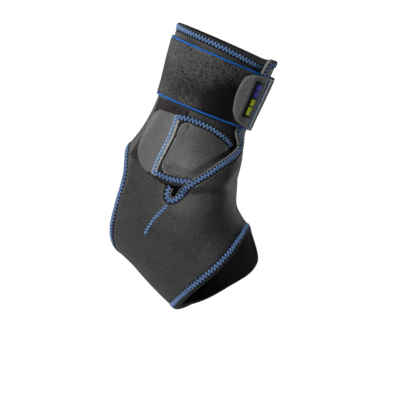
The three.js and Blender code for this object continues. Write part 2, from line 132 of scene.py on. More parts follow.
def tangents(s, a):
    perStation = (skin(s + 0.01, a) - skin(s - 0.01, a)) / 0.02
    perDegree = (skin(s, a + 0.5) - skin(s, a - 0.5))
    normal = np.cross(perDegree, perStation)
    return perStation, perDegree, normal / np.linalg.norm(normal, axis=-1, keepdims=True)


def layer(s, a, lift):
    s, a = np.broadcast_arrays(np.asarray(s, float), np.asarray(a, float))
    return skin(s, a) + tangents(s, a)[2] * np.broadcast_to(lift, s.shape)[..., None]


def aside(s, a, ds, da, distance):  # the place a distance to the left of a heading, on the surface
    perStation, perDegree, normal = tangents(s, a)
    heading = perStation * ds[..., None] + perDegree * da[..., None]
    way = np.cross(normal, heading)
    way *= np.asarray(distance)[..., None] / np.linalg.norm(way, axis=-1, keepdims=True)
    aa, ab, bb = (np.sum(p * q, -1) for p, q in
                  ((perStation, perStation), (perStation, perDegree), (perDegree, perDegree)))
    e, f = np.sum(perStation * way, -1), np.sum(perDegree * way, -1)
    whole = aa * bb - ab * ab
    return s + (bb * e - ab * f) / whole, a + (aa * f - ab * e) / whole


def curveAt(places, share):  # smooth path through places
    pts = np.array(places, float)
    n = len(pts)
    p = np.clip(share, 0, 1) * (n - 1)
    i = np.minimum(np.floor(p).astype(int), n - 2)
    t = (p - i)[..., None]
    p0, p1, p2, p3 = pts[np.maximum(i - 1, 0)], pts[i], pts[i + 1], pts[np.minimum(i + 2, n - 1)]
    v0, v1 = (p2 - p0) / 2, (p3 - p1) / 2
    return (2 * p1 - 2 * p2 + v0 + v1) * t**3 + (3 * p2 - 3 * p1 - 2 * v0 - v1) * t**2 + v0 * t + p1


def besidePath(places, share, distance):
    share = np.asarray(share, float)
    here = curveAt(places, share)
    step = curveAt(places, share + 0.002) - curveAt(places, share - 0.002)
    return aside(here[..., 0], here[..., 1], step[..., 0], step[..., 1],
                 np.broadcast_to(distance, share.shape))


def flapBeside(share, distance):
    return besidePath(form["flapEdge"], share, distance)


def farShare(distance):
    k = np.arange(0, 301)
    return float(k[np.argmax(flapBeside(k / 300, distance)[0])]) / 300


def sideRows(start, stop, distance):
    s, a = flapBeside(mix(start, stop, np.linspace(0, 1, 121)), distance)
    keep = [0]
    for k in range(1, 121):
        if s[k] > s[keep[-1]] + 0.004:
            keep.append(k)
    return s[keep], a[keep]


tipShare = farShare(0)
creaseShare = form["creaseRow"] / (len(form["flapEdge"]) - 1)
flapRows = sideRows(0, tipShare, 0)
inset = form["band"] + form["seamGap"]
bodyTipShare = farShare(inset)
underRows = tuple(np.array(form["underEdge"], float).T)
bodyTip = float(flapBeside(bodyTipShare, inset)[0])


def flapHeight(s):
    single = form["wrap"] + form["bandProud"] + form["flapSlack"]
    double = form["wrap"] + 1.6 + form["layerGap"] + form["flapSlack"]
    return mix(single, double, ease(2.15, 2.7, s)) * (1 - ease(4.5, 4.71, s))


def flapLift(s, a):
    inside = np.interp(s, *flapRows) - a
    return flapHeight(s) * (1 - ease(30, 62, inside))


def wrapLift(s, a):
    return np.where(a > 180, flapLift(s, a - 360), 0)


def turned(a):
    return (a + 180) % 360 - 180


def strapBase(s, a):  # height that the elastic strap rides on
    t = turned(a)
    edge = np.interp(s, *flapRows)
    ramp = flapHeight(s) * (1 - ease(edge, edge + 26, t))
    return np.where(t < edge, flapLift(s, t), ramp)


def stationLength(s, a):
    return np.linalg.norm(tangents(s, a)[0], axis=-1)


def degreeLength(s, a):
    return np.linalg.norm(tangents(s, a)[1], axis=-1)


def toeStation(a):
    return smoothColumn(*np.array(form["toeEdge"], float).T, turned(np.asarray(a, float)))


def rimStation(a):
    return 0.12 * (1 - ease(0, 75, a)) - 0.12 * ease(300, 345, a)


# Edges of the wrap: place(share, inward) gives station and angle, lift the height

def topPlace(share, inward):
    a = mix(-12, 357 - 0.6, np.asarray(share, float))
    edge = rimStation(a)
    return edge + inward / stationLength(edge, a), a


def toePlace(share, inward):
    a = 360 * np.asarray(share, float)
    edge = toeStation(a)
    return edge - inward / stationLength(edge, a), a


def heelAt(share):
    h, t = form["heelHole"], np.asarray(share, float) * 2 * np.pi
    return (h["station"] - h["halfStations"] * power(np.cos(t), 2 / h["square"]),
            h["angle"] + h["halfAngle"] * power(np.sin(t), 2 / h["square"]))


def heelPlace(share, inward):
    s, a = heelAt(share)
    before, after = heelAt(share - 0.004), heelAt(share + 0.004)
    return aside(s, a, after[0] - before[0], after[1] - before[1], -np.broadcast_to(inward, s.shape))


def zeroLift(s, a):
    return np.zeros(np.broadcast(s, a).shape)


def bandEdge(start, stop):
    def place(share, inward):
        return flapBeside(mix(start, stop, np.asarray(share, float)), inward)

    def lift(s, a, share):
        return np.where(mix(start, stop, share) < tipShare, flapLift(s, a), 0)

    return {"place": place, "lift": lift, "loop": False}


edges = {
    "top": {"place": topPlace, "lift": lambda s, a, share: wrapLift(s, a), "loop": False},
    "toe": {"place": toePlace, "lift": lambda s, a, share: zeroLift(s, a), "loop": True},
    "heel": {"place": heelPlace, "lift": lambda s, a, share: zeroLift(s, a), "loop": True},
    "front": bandEdge(0, creaseShare),
    "neck": bandEdge(creaseShare + 0.004, 1),
}


def edgePoint(edge, share, inward, height):
    share = np.asarray(share, float)
    s, a = edge["place"](share, np.broadcast_to(inward, share.shape))
    return layer(s, a, edge["lift"](s, a, share) + height)


def runAlong(pts):  # length from the first point to each point
    return np.concatenate([[0], np.cumsum(np.linalg.norm(np.diff(pts, axis=0), axis=1))])


def evenShares(edge, inward, spacing):  # shares at even lengths along an edge
    dense = np.linspace(0, 1, 2001)
    pts = edgePoint(edge, dense, inward, 0)
    run = runAlong(pts)
    count = max(4, int(round(run[-1] / spacing)))
    return np.interp(np.linspace(0, run[-1], count + 1), run, dense), run[-1]


# Mesh helpers

def makeMesh(name, verts, faces, materials, slots, uv):
    mesh = bpy.data.meshes.new(name)
    mesh.from_pydata((np.asarray(verts) * mm).tolist(), [], [list(map(int, f)) for f in faces])
    for m in materials:
        mesh.materials.append(m)
    if slots is not None:
        mesh.polygons.foreach_set("material_index", np.asarray(slots, np.int32))
    mesh.shade_smooth()
    layerUv = mesh.uv_layers.new(name="cloth")
    loops = np.empty(len(mesh.loops), np.int32)
    mesh.loops.foreach_get("vertex_index", loops)
    layerUv.data.foreach_set("uv", (np.asarray(uv)[loops] * mm).astype(np.float32).ravel())
    mesh.update()
    obj = bpy.data.objects.new(name, mesh)
    bpy.context.scene.collection.objects.link(obj)
    return obj


def faceOut(obj):  # one closed body, its faces turned outwards
    bm = bmesh.new()
    bm.from_mesh(obj.data)
    bmesh.ops.remove_doubles(bm, verts=bm.verts, dist=2e-6)
    bmesh.ops.recalc_face_normals(bm, faces=bm.faces)
    bm.to_mesh(obj.data)
    bm.free()


def gridFaces(rows, cols):
    i, j = np.meshgrid(np.arange(rows), np.arange(cols), indexing="ij")
    wide = cols + 1
    return np.stack([i * wide + j, (i + 1) * wide + j, (i + 1) * wide + j + 1, i * wide + j + 1],
                    -1).reshape(-1, 4)


def sideFaces(shape):  # walls between two grids of the same shape, one list for each side
    count = shape[0] * shape[1]
    index = np.arange(count).reshape(shape)
    lines = (index[0, ::-1], index[-1], index[:, 0], index[::-1, -1])
    return [np.stack([line[:-1], line[1:], line[1:] + count, line[:-1] + count], -1) for line in lines]


def ringFaces(count, around, closed):  # faces of a section swept along count places
    i, j = np.meshgrid(np.arange(count if closed else count - 1), np.arange(around), indexing="ij")
    after, beside = (i + 1) % count, (j + 1) % around
    corners = [i * around + j, after * around + j, after * around + beside, i * around + beside]
    return np.stack(corners, -1).reshape(-1, 4).tolist()


def ringEnds(count, around):
    return [list(range(around)), list(range((count - 1) * around, count * around))[::-1]]


def belong(obj, cadNode=None):  # hides the node a piece replaces and puts the piece on its body
    if cadNode:
        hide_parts(cadNode)
    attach(obj, "root")
    return obj


def shell(name, outer, inner, materials, outerSlots=0):
    # closed sheet from two grids of points: outer slots as given, the edge slot 1 and the inside slot 2
    faces = gridFaces(outer.shape[0] - 1, outer.shape[1] - 1)
    faceLists = [faces, faces[:, ::-1] + outer.shape[0] * outer.shape[1]]
    slots = [np.zeros(len(faces)) + outerSlots, np.full(len(faces), 2)]
    for quads in sideFaces(outer.shape[:2]):
        faceLists.append(quads)
        slots.append(np.full(len(quads), 1))
    verts = np.concatenate([outer.reshape(-1, 3), inner.reshape(-1, 3)])
    uvs = np.concatenate([clothUv(outer).reshape(-1, 2)] * 2)
    obj = makeMesh(name, verts, np.concatenate(faceLists), materials, np.concatenate(slots), uvs)
    faceOut(obj)
    return obj


def runLengths(grid, axis):
    step = np.linalg.norm(np.diff(grid, axis=axis), axis=-1)
    zero = np.zeros_like(np.take(step, [0], axis=axis))
    return np.concatenate([zero, np.cumsum(step, axis=axis)], axis=axis)


def clothUv(grid):
    across, down = runLengths(grid, 1), runLengths(grid, 0)
    return np.stack([across, down], -1)


def hashNoise(pts, size, seed):  # smooth lattice noise from -1 to 1, the same on each run
    q = np.asarray(pts) / size + seed * 17.31
    base = np.floor(q).astype(np.int64)
    f = q - base
    f = f * f * (3 - 2 * f)
    total = np.zeros(q.shape[:-1])
    for dx in (0, 1):
        for dy in (0, 1):
            for dz in (0, 1):
                c = base + np.array([dx, dy, dz])
                h = (c[..., 0] * 73856093) ^ (c[..., 1] * 19349663)
                h = h ^ (c[..., 2] * 83492791) ^ (seed * 2654435)
                h = (h ^ (h >> 13)) * 1274126177 & 0x7FFFFFFF
                value = (h % 20011) / 10005.0 - 1
                weight = (np.where(dx, f[..., 0], 1 - f[..., 0]) * np.where(dy, f[..., 1], 1 - f[..., 1])
                          * np.where(dz, f[..., 2], 1 - f[..., 2]))
                total += value * weight
    return total


def tubeMesh(lines, radius, sides=6):
    # round threads along lines of points, each with the surface normals below it
    verts, faces, uvs, start = [], [], [], 0
    angle = np.arange(sides) * 2 * np.pi / sides
    for pts, normals, closed in lines:
        n = len(pts)
        way = (np.roll(pts, -1, 0) - np.roll(pts, 1, 0)) if closed else np.gradient(pts, axis=0)
        way /= np.maximum(np.linalg.norm(way, axis=1, keepdims=True), 1e-9)
        side = np.cross(way, normals)
        side /= np.maximum(np.linalg.norm(side, axis=1, keepdims=True), 1e-9)
        up = np.cross(side, way)
        ring = pts[:, None] + radius * (np.cos(angle)[None, :, None] * side[:, None]
                                        + np.sin(angle)[None, :, None] * up[:, None])
        verts.append(ring.reshape(-1, 3))
        run = runAlong(pts)
        places = np.broadcast_arrays(run[:, None], (angle / (2 * np.pi) * 2)[None, :])
        uvs.append(np.stack(places, -1).reshape(-1, 2))
        i = np.arange(n if closed else n - 1)
        j = np.arange(sides)
        a = start + i[:, None] * sides + j[None, :]
        b = start + i[:, None] * sides + (j[None, :] + 1) % sides
        nxt = ((i + 1) % n)[:, None] * sides + start
        walls = np.stack([a, nxt + j[None, :], nxt + (j[None, :] + 1) % sides, b], -1)
        faces += walls.reshape(-1, 4).tolist()
        if not closed:
            faces.append([start + k for k in range(sides)])
            faces.append([start + (n - 1) * sides + k for k in range(sides - 1, -1, -1)])
        start += n * sides
    return np.concatenate(verts), faces, np.concatenate(uvs)


def threadPiece(name, lines, radius, materials, slotOf=None, sides=6):
    verts, faces, uv = tubeMesh(lines, radius, sides)
    slots = None
    if slotOf is not None:
        slots = []
        for k, (pts, _, closed) in enumerate(lines):
            slots += [slotOf(k)] * ((len(pts) if closed else len(pts) - 1) * sides + (0 if closed else 2))
    return makeMesh(name, verts, faces, materials, slots, uv)


# Shader groups: they put out only values, colours and normals

def newGroup(name, needsCloth, **inputs):
    group = bpy.data.node_groups.new(name, "ShaderNodeTree")
    if needsCloth:
        group.interface.new_socket("Cloth", in_out="INPUT", socket_type="NodeSocketVector")
    for label, value in inputs.items():
        group.interface.new_socket(label, in_out="INPUT", socket_type="NodeSocketFloat").default_value = value
    for label in ("Height", "Shade"):
        group.interface.new_socket(label, in_out="OUTPUT", socket_type="NodeSocketFloat")
    calc = partial(compute, group)
    return group, group.nodes.new("NodeGroupInput"), group.nodes.new("NodeGroupOutput"), calc


def node(tree, kind, values=None, **props):
    n = tree.nodes.new("ShaderNode" + kind)
    for key, value in props.items():
        setattr(n, key, value)
    for key, value in (values or {}).items():
        if isinstance(value, bpy.types.NodeSocket):
            tree.links.new(value, n.inputs[key])
        else:
            n.inputs[key].default_value = value
    return n


def compute(tree, operation, *values):
    return node(tree, "Math", dict(enumerate(values)), operation=operation).outputs[0]


def buildKnitGroup():
    group, gin, gout, calc = newGroup("knitFace", True, Wale=0.001, Course=0.0008, Fuzz=0.4)
    split = node(group, "SeparateXYZ", {0: gin.outputs["Cloth"]})
    wale = calc("DIVIDE", calc("MULTIPLY", split.outputs["X"], fullTurn), gin.outputs["Wale"])
    course = calc("DIVIDE", calc("MULTIPLY", split.outputs["Y"], fullTurn), gin.outputs["Course"])
    ribs = calc("SINE", wale)
    half = calc("ABSOLUTE", calc("SINE", calc("MULTIPLY", wale, 0.5)))
    loops = calc("SINE", calc("MULTIPLY_ADD", half, 2.2, course))
    knit = calc("MULTIPLY_ADD", loops, 0.35, calc("MULTIPLY", ribs, 0.25))
    coord = node(group, "TexCoord").outputs["Object"]
    fibre = node(group, "TexNoise", {"Vector": coord, "Scale": 2600.0, "Detail": 3.0, "Roughness": 0.6})
    fuzz = calc("MULTIPLY", calc("SUBTRACT", fibre.outputs["Fac"], 0.5), gin.outputs["Fuzz"])
    height = calc("ADD", calc("ADD", knit, 0.5), fuzz)
    group.links.new(height, gout.inputs["Height"])
    soft = node(group, "TexNoise", {"Vector": coord, "Scale": 55.0, "Detail": 4.0, "Roughness": 0.55})
    grain = node(group, "TexNoise", {"Vector": coord, "Scale": 620.0, "Detail": 2.0, "Roughness": 0.7})
    speck = calc("MULTIPLY", calc("SUBTRACT", grain.outputs["Fac"], 0.5), 1.7)
    shade = calc("ADD", calc("MULTIPLY", knit, 0.16), calc("MULTIPLY_ADD", soft.outputs["Fac"], 0.5, 0.36))
    shade = calc("ADD", shade, calc("MULTIPLY_ADD", fuzz, 0.5, speck))
    group.links.new(shade, gout.inputs["Shade"])
    return group


def buildPileGroup():
    # the last input is how strongly broad patches of the nap are painted lighter and darker: painted
    # highlight and painted shade
    group, gin, gout, calc = newGroup("pileNap", False, Tuft=900.0, Patch=60.0, Contrast=1.0, Cloud=0.0)
    coord = node(group, "TexCoord").outputs["Object"]
    tuft = node(group, "TexVoronoi", {"Vector": coord, "Scale": gin.outputs["Tuft"], "Randomness": 1.0})
    fine = node(group, "TexNoise", {"Vector": coord, "Scale": 2400.0, "Detail": 2.0})
    patch = node(group, "TexNoise", {"Vector": coord, "Scale": gin.outputs["Patch"], "Detail": 5.0,
                                     "Roughness": 0.65})
    height = calc("ADD", calc("SUBTRACT", 1.0, tuft.outputs["Distance"]),
                  calc("MULTIPLY", fine.outputs["Fac"], 0.6))
    group.links.new(height, gout.inputs["Height"])
    lift = calc("SUBTRACT", patch.outputs["Fac"], 0.5)
    grain = calc("MULTIPLY", calc("SUBTRACT", fine.outputs["Fac"], tuft.outputs["Distance"]), 0.35)
    shade = calc("ADD", calc("MULTIPLY", calc("ADD", lift, grain), gin.outputs["Contrast"]), 0.5)
    # painted highlight: a broad noise scales the colour up and down, and its offset sets where the bright
    # patch lands on the strap
    highlightPlace = node(group, "VectorMath", {0: coord, 1: (1.3, 0.2, 0.7)}, operation="ADD").outputs[0]
    highlightNoise = node(group, "TexNoise", {"Vector": highlightPlace, "Scale": 17.0, "Detail": 1.0})
    paintedLight = calc("MULTIPLY", calc("SUBTRACT", highlightNoise.outputs["Fac"], 0.5), gin.outputs["Cloud"])
    shade = calc("MULTIPLY", shade, calc("MAXIMUM", calc("ADD", paintedLight, 1.0), 0.1))
    group.links.new(calc("MAXIMUM", shade, 0.02), gout.inputs["Shade"])
    return group


def buildYarnGroup():
    group, gin, gout, calc = newGroup("yarnTwist", True, Turn=0.0011)
    split = node(group, "SeparateXYZ", {0: gin.outputs["Cloth"]})
    along = calc("DIVIDE", calc("MULTIPLY", split.outputs["X"], fullTurn), gin.outputs["Turn"])
    twist = calc("SINE", calc("MULTIPLY_ADD", split.outputs["Y"], 6283.2, along))
    coord = node(group, "TexCoord").outputs["Object"]
    fleck = node(group, "TexNoise", {"Vector": coord, "Scale": 420.0, "Detail": 3.0})
    group.links.new(calc("MULTIPLY_ADD", twist, 0.5, 0.5), gout.inputs["Height"])
    shade = calc("ADD", calc("MULTIPLY_ADD", twist, 0.14, 0.36), calc("MULTIPLY", fleck.outputs["Fac"], 0.55))
    group.links.new(shade, gout.inputs["Shade"])
    return group


def buildWeaveGroup():
    group, gin, gout, calc = newGroup("tapeWeave", True, Warp=0.0006, Weft=0.0007)
    split = node(group, "SeparateXYZ", {0: gin.outputs["Cloth"]})
    warp = calc("SINE", calc("DIVIDE", calc("MULTIPLY", split.outputs["X"], fullTurn), gin.outputs["Warp"]))
    weft = calc("SINE", calc("DIVIDE", calc("MULTIPLY", split.outputs["Y"], fullTurn), gin.outputs["Weft"]))
    cross = calc("MULTIPLY", warp, weft)
    coord = node(group, "TexCoord").outputs["Object"]
    soft = node(group, "TexNoise", {"Vector": coord, "Scale": 180.0, "Detail": 4.0})
    group.links.new(calc("MULTIPLY_ADD", cross, 0.5, 0.5), gout.inputs["Height"])
    shade = calc("ADD", calc("MULTIPLY_ADD", cross, 0.12, 0.3), calc("MULTIPLY", soft.outputs["Fac"], 0.5))
    group.links.new(shade, gout.inputs["Shade"])
    return group


groups = {"knit": buildKnitGroup(), "pile": buildPileGroup(), "yarn": buildYarnGroup(),
          "weave": buildWeaveGroup()}
print("shader groups built:", ", ".join(groups))


def clothMaterial(name, group, settings, dark, light, roughness, bump, bumpDepth, sheen=0.0, specular=0.3):
    material = bpy.data.materials.new(name)
    material.use_nodes = True
    tree = material.node_tree
    shader = tree.nodes["Principled BSDF"]
    effect = node(tree, "Group", node_tree=groups[group])
    if "Cloth" in effect.inputs:
        tree.links.new(node(tree, "UVMap", uv_map="cloth").outputs[0], effect.inputs["Cloth"])
    for key, value in settings.items():
        effect.inputs[key].default_value = value
    ramp = node(tree, "ValToRGB", {0: effect.outputs["Shade"]})
    ramp.color_ramp.elements[0].color = (*dark, 1)
    ramp.color_ramp.elements[1].color = (*light, 1)
    ramp.color_ramp.elements[0].position, ramp.color_ramp.elements[1].position = 0.15, 1.0
    tree.links.new(ramp.outputs[0], shader.inputs["Base Color"])
    rough = node(tree, "MapRange", {"Value": effect.outputs["Height"], "To Min": roughness[1],
                                    "To Max": roughness[0]})
    tree.links.new(rough.outputs[0], shader.inputs["Roughness"])
    relief = node(tree, "Bump", {"Height": effect.outputs["Height"], "Strength": bump, "Distance": bumpDepth})
    tree.links.new(relief.outputs[0], shader.inputs["Normal"])
    shader.inputs["Specular IOR Level"].default_value = specular
    shader.inputs["Sheen Weight"].default_value = sheen
    shader.inputs["Sheen Roughness"].default_value = 0.4
    shader.inputs["Sheen Tint"].default_value = (1, 1, 1, 1)
    return material


finishes = {
    "neopreneFace": dict(
        group="knit", settings={"Wale": 0.00095, "Course": 0.0008, "Fuzz": 1.0},
        dark=(0.010, 0.0105, 0.0105), light=(0.074, 0.077, 0.076), roughness=(0.42, 0.56), bump=0.3,
        bumpDepth=0.0003, sheen=0.06, specular=0.5),
    "padFace": dict(
        group="knit", settings={"Wale": 0.0009, "Course": 0.0008, "Fuzz": 0.8},
        dark=(0.045, 0.046, 0.046), light=(0.155, 0.158, 0.158), roughness=(0.4, 0.52), bump=0.25,
        bumpDepth=0.0003, specular=0.6),
    "bandFace": dict(
        group="knit", settings={"Wale": 0.0007, "Course": 0.0007, "Fuzz": 0.9},
        dark=(0.005, 0.005, 0.006), light=(0.024, 0.025, 0.026), roughness=(0.5, 0.7), bump=0.4,
        bumpDepth=0.0002, sheen=0.05, specular=0.3),
    "paleStrip": dict(
        group="knit", settings={"Wale": 0.0007, "Course": 0.0007, "Fuzz": 0.7},
        dark=(0.28, 0.278, 0.27), light=(0.74, 0.735, 0.71), roughness=(0.55, 0.75), bump=0.4,
        bumpDepth=0.0002),
    "foamCut": dict(
        group="knit", settings={"Wale": 0.0006, "Course": 0.0006, "Fuzz": 1.6},
        dark=(0.16, 0.17, 0.18), light=(0.36, 0.37, 0.38), roughness=(0.7, 0.95), bump=0.4,
        bumpDepth=0.0003, sheen=0.1),
    "rimCut": dict(
        group="knit", settings={"Wale": 0.0006, "Course": 0.0006, "Fuzz": 1.4},
        dark=(0.012, 0.013, 0.014), light=(0.04, 0.043, 0.045), roughness=(0.6, 0.9), bump=0.4,
        bumpDepth=0.0003, sheen=0.2),
    "liningKnit": dict(
        group="knit", settings={"Wale": 0.0013, "Course": 0.0010, "Fuzz": 0.9},
        dark=(0.004, 0.004, 0.005), light=(0.030, 0.031, 0.034), roughness=(0.7, 0.95), bump=0.5,
        bumpDepth=0.0004, sheen=0.3),
    "threadPale": dict(
        group="yarn", settings={"Turn": 0.0011}, dark=(0.10, 0.23, 0.46), light=(0.36, 0.62, 0.98),
        roughness=(0.4, 0.6), bump=0.6, bumpDepth=0.0002, specular=0.5),
    # a darker copy of the blue thread: painted shade for the stitches' shaded side
    "threadPaintedShade": dict(
        group="yarn", settings={"Turn": 0.0011}, dark=(0.012, 0.035, 0.17), light=(0.07, 0.15, 0.52),
        roughness=(0.45, 0.7), bump=0.6, bumpDepth=0.0002),
    # the plush's last setting paints a broad highlight, with shade between, into its colour
    "plushBlack": dict(
        group="pile", settings={"Tuft": 820.0, "Patch": 430.0, "Contrast": 2.0, "Cloud": 6.0},
        dark=(0.0003, 0.0003, 0.0004), light=(0.100, 0.102, 0.104), roughness=(0.46, 0.56), bump=0.45,
        bumpDepth=0.0006, specular=0.35),
    "edgeBlue": dict(
        group="weave", settings={"Warp": 0.0008, "Weft": 0.0006}, dark=(0.002, 0.06, 0.36),
        light=(0.010, 0.28, 0.95), roughness=(0.5, 0.7), bump=0.4, bumpDepth=0.0002),
    "loopPile": dict(
        group="pile", settings={"Tuft": 1100.0, "Patch": 160.0, "Contrast": 1.2},
        dark=(0.012, 0.009, 0.009), light=(0.085, 0.072, 0.071), roughness=(0.8, 1.0), bump=0.8,
        bumpDepth=0.0005, sheen=0.15, specular=0.12),
    "tabFace": dict(
        group="weave", settings={"Warp": 0.0007, "Weft": 0.0009}, dark=(0.11, 0.112, 0.112),
        light=(0.28, 0.283, 0.28), roughness=(0.5, 0.68), bump=0.25, bumpDepth=0.0002),
    "hookTape": dict(
        group="weave", settings={"Warp": 0.0007, "Weft": 0.0009}, dark=(0.085, 0.087, 0.086),
        light=(0.22, 0.222, 0.218), roughness=(0.36, 0.48), bump=0.15, bumpDepth=0.0002, specular=0.8),
    "labelBlack": dict(
        group="weave", settings={"Warp": 0.0005, "Weft": 0.0005}, dark=(0.002, 0.003, 0.004),
        light=(0.014, 0.017, 0.021), roughness=(0.45, 0.65), bump=0.3, bumpDepth=0.0001),
    "barBlue": dict(
        group="weave", settings={"Warp": 0.0005, "Weft": 0.0005}, dark=(0.04, 0.04, 0.48),
        light=(0.12, 0.13, 1.0), roughness=(0.4, 0.6), bump=0.4, bumpDepth=0.0001),
    "barLime": dict(
        group="weave", settings={"Warp": 0.0005, "Weft": 0.0005}, dark=(0.62, 0.85, 0.005),
        light=(1.0, 1.0, 0.02), roughness=(0.4, 0.6), bump=0.4, bumpDepth=0.0001),
}
cloths = {name: clothMaterial(name, **values) for name, values in finishes.items()}
print("materials built:", len(cloths))


# Wrap: foot tube, ankle and leg part in one cut, open at heel, neck, top and toes

wrapLook = {
    "spacing": 2.0, "weaveDegree": 0.82, "swell": 0.25, "swellSize": 34, "slit": 0.12,
    # soft folds: station and angle of both ends, half width in mm, height in mm
    "folds": [
        (5.2, 98, 6.1, 60, 7, 0.7), (4.95, 66, 5.9, 40, 6, 0.6), (5.6, 150, 6.3, 110, 8, -0.6),
        (3.5, 128, 4.9, 112, 9, 0.6), (5.0, 30, 5.9, 8, 11, 0.35), (6.3, 120, 6.9, 80, 8, 0.4),
        (2.5, 200, 3.4, 215, 9, 0.6), (3.2, 285, 4.6, 300, 9, 0.6), (4.4, 320, 5.4, 345, 8, 0.5),
    ],
    "flat": (0.27, 0.314), "flatArea": 0.0511,
}


def foldHeight(pts):
    total = np.zeros(pts.shape[:-1])
    for s0, a0, s1, a1, width, height in wrapLook["folds"]:
        p, q = skin(s0, a0), skin(s1, a1)
        way = q - p
        t = np.clip(((pts - p) @ way) / (way @ way), 0, 1)
        gap = np.linalg.norm(pts - (p + t[..., None] * way), axis=-1)
        total += height * np.exp(-(gap / width) ** 2) * np.sin(np.pi * np.clip(t, 0.02, 0.98)) ** 0.7
    return total


def wrapRelief(s, a):
    pts = skin(s, a)
    return wrapLook["swell"] * hashNoise(pts, wrapLook["swellSize"], 3) + foldHeight(pts)


def resample(s, a, spacing):
    pts = skin(s, a)
    run = runAlong(pts)
    count = max(2, int(round(run[-1] / spacing)))
    at = np.linspace(0, run[-1], count + 1)
    return np.interp(at, run, s), np.interp(at, run, a)


def insidePolygon(x, y, px, py):
    inside = np.zeros(x.shape, bool)
    for k in range(len(px)):
        x1, y1, x2, y2 = px[k - 1], py[k - 1], px[k], py[k]
        if y1 == y2:
            continue
        cross = ((y1 > y) != (y2 > y)) & (x < (x2 - x1) * (y - y1) / (y2 - y1) + x1)
        inside ^= cross
    return inside


def wrapOutline(cut):
    step = wrapLook["spacing"] * 0.8
    t = np.linspace(0, 1, 400)
    a = mix(-12, 357, t)
    edge = rimStation(a)
    top = resample(edge + cut / stationLength(edge, a), a, step)
    tip = farShare(cut)
    s, a = flapBeside(mix(0, tip, t), cut)
    flap = resample(s, a + 360, step)
    tipS, tipA = s[-1], a[-1]
    endS = float(toeStation(tipA) - cut / stationLength(toeStation(tipA), tipA))
    seam = resample(mix(tipS, endS, t), np.full(400, tipA), step)
    a = mix(tipA + 360, tipA, t)
    edge = toeStation(a)
    toe = resample(edge - cut / stationLength(edge, a), a, step)
    s, a = flapBeside(mix(tip, 1, t), cut)
    neck = resample(s, a, step)
    under = np.array(form["underEdge"], float)[::-1]
    startS = float(rimStation(-12) + cut / stationLength(0, -12))
    under = under[under[:, 0] < neck[0][-1]]
    s = np.concatenate([[neck[0][-1]], under[:-1, 0], [startS]])
    a = np.concatenate([[np.interp(neck[0][-1], *underRows)], under[:-1, 1], [-12]])
    fine = np.linspace(0, len(s) - 1, 400)
    below = resample(np.interp(fine, np.arange(len(s)), s), np.interp(fine, np.arange(len(s)), a), step)
    parts = [top, flap, (seam[0], seam[1] + 360), toe, (seam[0][::-1], seam[1][::-1]), neck, below]
    s = np.concatenate([p[0][:-1] for p in parts])
    a = np.concatenate([p[1][:-1] for p in parts])
    return s, a


def buildWrap():
    perDegree, perStation = 0.8, 28.0  # mm in the flat layout that is filled with triangles
    s, a = wrapOutline(wrapCut)
    share = np.linspace(0, 1, 401)
    hs, ha = heelPlace(share, wrapCut)
    hs, ha = resample(hs, ha, wrapLook["spacing"] * 0.8)
    hs, ha = hs[:-1], ha[:-1]
    ox, oy, hx, hy = a * perDegree, s * perStation, ha * perDegree, hs * perStation
    pitch = wrapLook["spacing"]
    gx, gy = np.meshgrid(np.arange(ox.min(), ox.max(), pitch), np.arange(oy.min(), oy.max(), pitch * 0.866))
    gx = gx + (np.arange(gx.shape[0]) % 2)[:, None] * pitch / 2
    gx, gy = gx.ravel(), gy.ravel()
    keep = insidePolygon(gx, gy, ox, oy) & ~insidePolygon(gx, gy, hx, hy)
    gx, gy = gx[keep], gy[keep]
    bx, by = np.concatenate([ox, hx]), np.concatenate([oy, hy])
    near = np.full(len(gx), 1e9)
    for k in range(0, len(bx), 64):
        d = (gx[:, None] - bx[None, k:k + 64]) ** 2 + (gy[:, None] - by[None, k:k + 64]) ** 2
        near = np.minimum(near, d.min(1))
    gx, gy = gx[near > (0.6 * pitch) ** 2], gy[near > (0.6 * pitch) ** 2]
    pts = np.stack([np.concatenate([bx, gx]), np.concatenate([by, gy])], -1)
    n, m = len(ox), len(hx)
    lines = [(k, (k + 1) % n) for k in range(n)] + [(n + k, n + (k + 1) % m) for k in range(m)]
    out = delaunay_2d_cdt([Vector(p) for p in pts], lines, [], 0, 1e-6)
    flat = np.array([tuple(v) for v in out[0]])
    tris = np.array([f for f in out[2] if len(f) == 3])
    centre = flat[tris].mean(1)
    inOutline = insidePolygon(centre[:, 0], centre[:, 1], ox, oy)
    inHole = insidePolygon(centre[:, 0], centre[:, 1], hx, hy)
    tris = tris[inOutline & ~inHole]
    s, a = flat[:, 1] / perStation, flat[:, 0] / perDegree
    lift = wrapLift(s, a)
    relief = wrapRelief(s, a)
    outer = layer(s, a, lift + relief)
    inner = layer(s, a, lift + relief - form["wrap"])
    # open edges of the sheet
    e = np.concatenate([tris[:, [0, 1]], tris[:, [1, 2]], tris[:, [2, 0]]])
    key = np.sort(e, 1)
    _, index, count = np.unique(key, axis=0, return_index=True, return_counts=True)
    rim = e[index[count == 1]]
    seamX = {round(float(v), 4) for v in (seamAngle * perDegree, (seamAngle + 360) * perDegree)}
    besideSeam = np.array([round(float(x), 4) in seamX and y > bodyTip * perStation - 0.2 for x, y in flat])
    onSeam = besideSeam[rim].all(1)
    rim = rim[~onSeam]
    total = len(flat)
    walls = np.stack([rim[:, 1], rim[:, 0], rim[:, 0] + total, rim[:, 1] + total], -1)
    faces = tris.tolist() + (tris[:, ::-1] + total).tolist() + walls.tolist()
    slots = [0] * len(tris) + [2] * len(tris) + [1] * len(walls)
    # texture scale only, not lengths along the cloth
    uv = np.stack([a * wrapLook["weaveDegree"], s * perStation], -1)
    obj = makeMesh("wrap_cloth", np.concatenate([outer, inner]), faces,
                   [cloths["neopreneFace"], cloths["rimCut"], cloths["liningKnit"]], slots,
                   np.concatenate([uv, uv]))
    faceOut(obj)
    first, second, third = (outer[tris[:, k]] for k in range(3))
    area = 0.5 * np.linalg.norm(np.cross(second - first, third - first), axis=1).sum()
    print("wrap:", len(tris), "faces a side,", round(area), "mm2")
    return obj


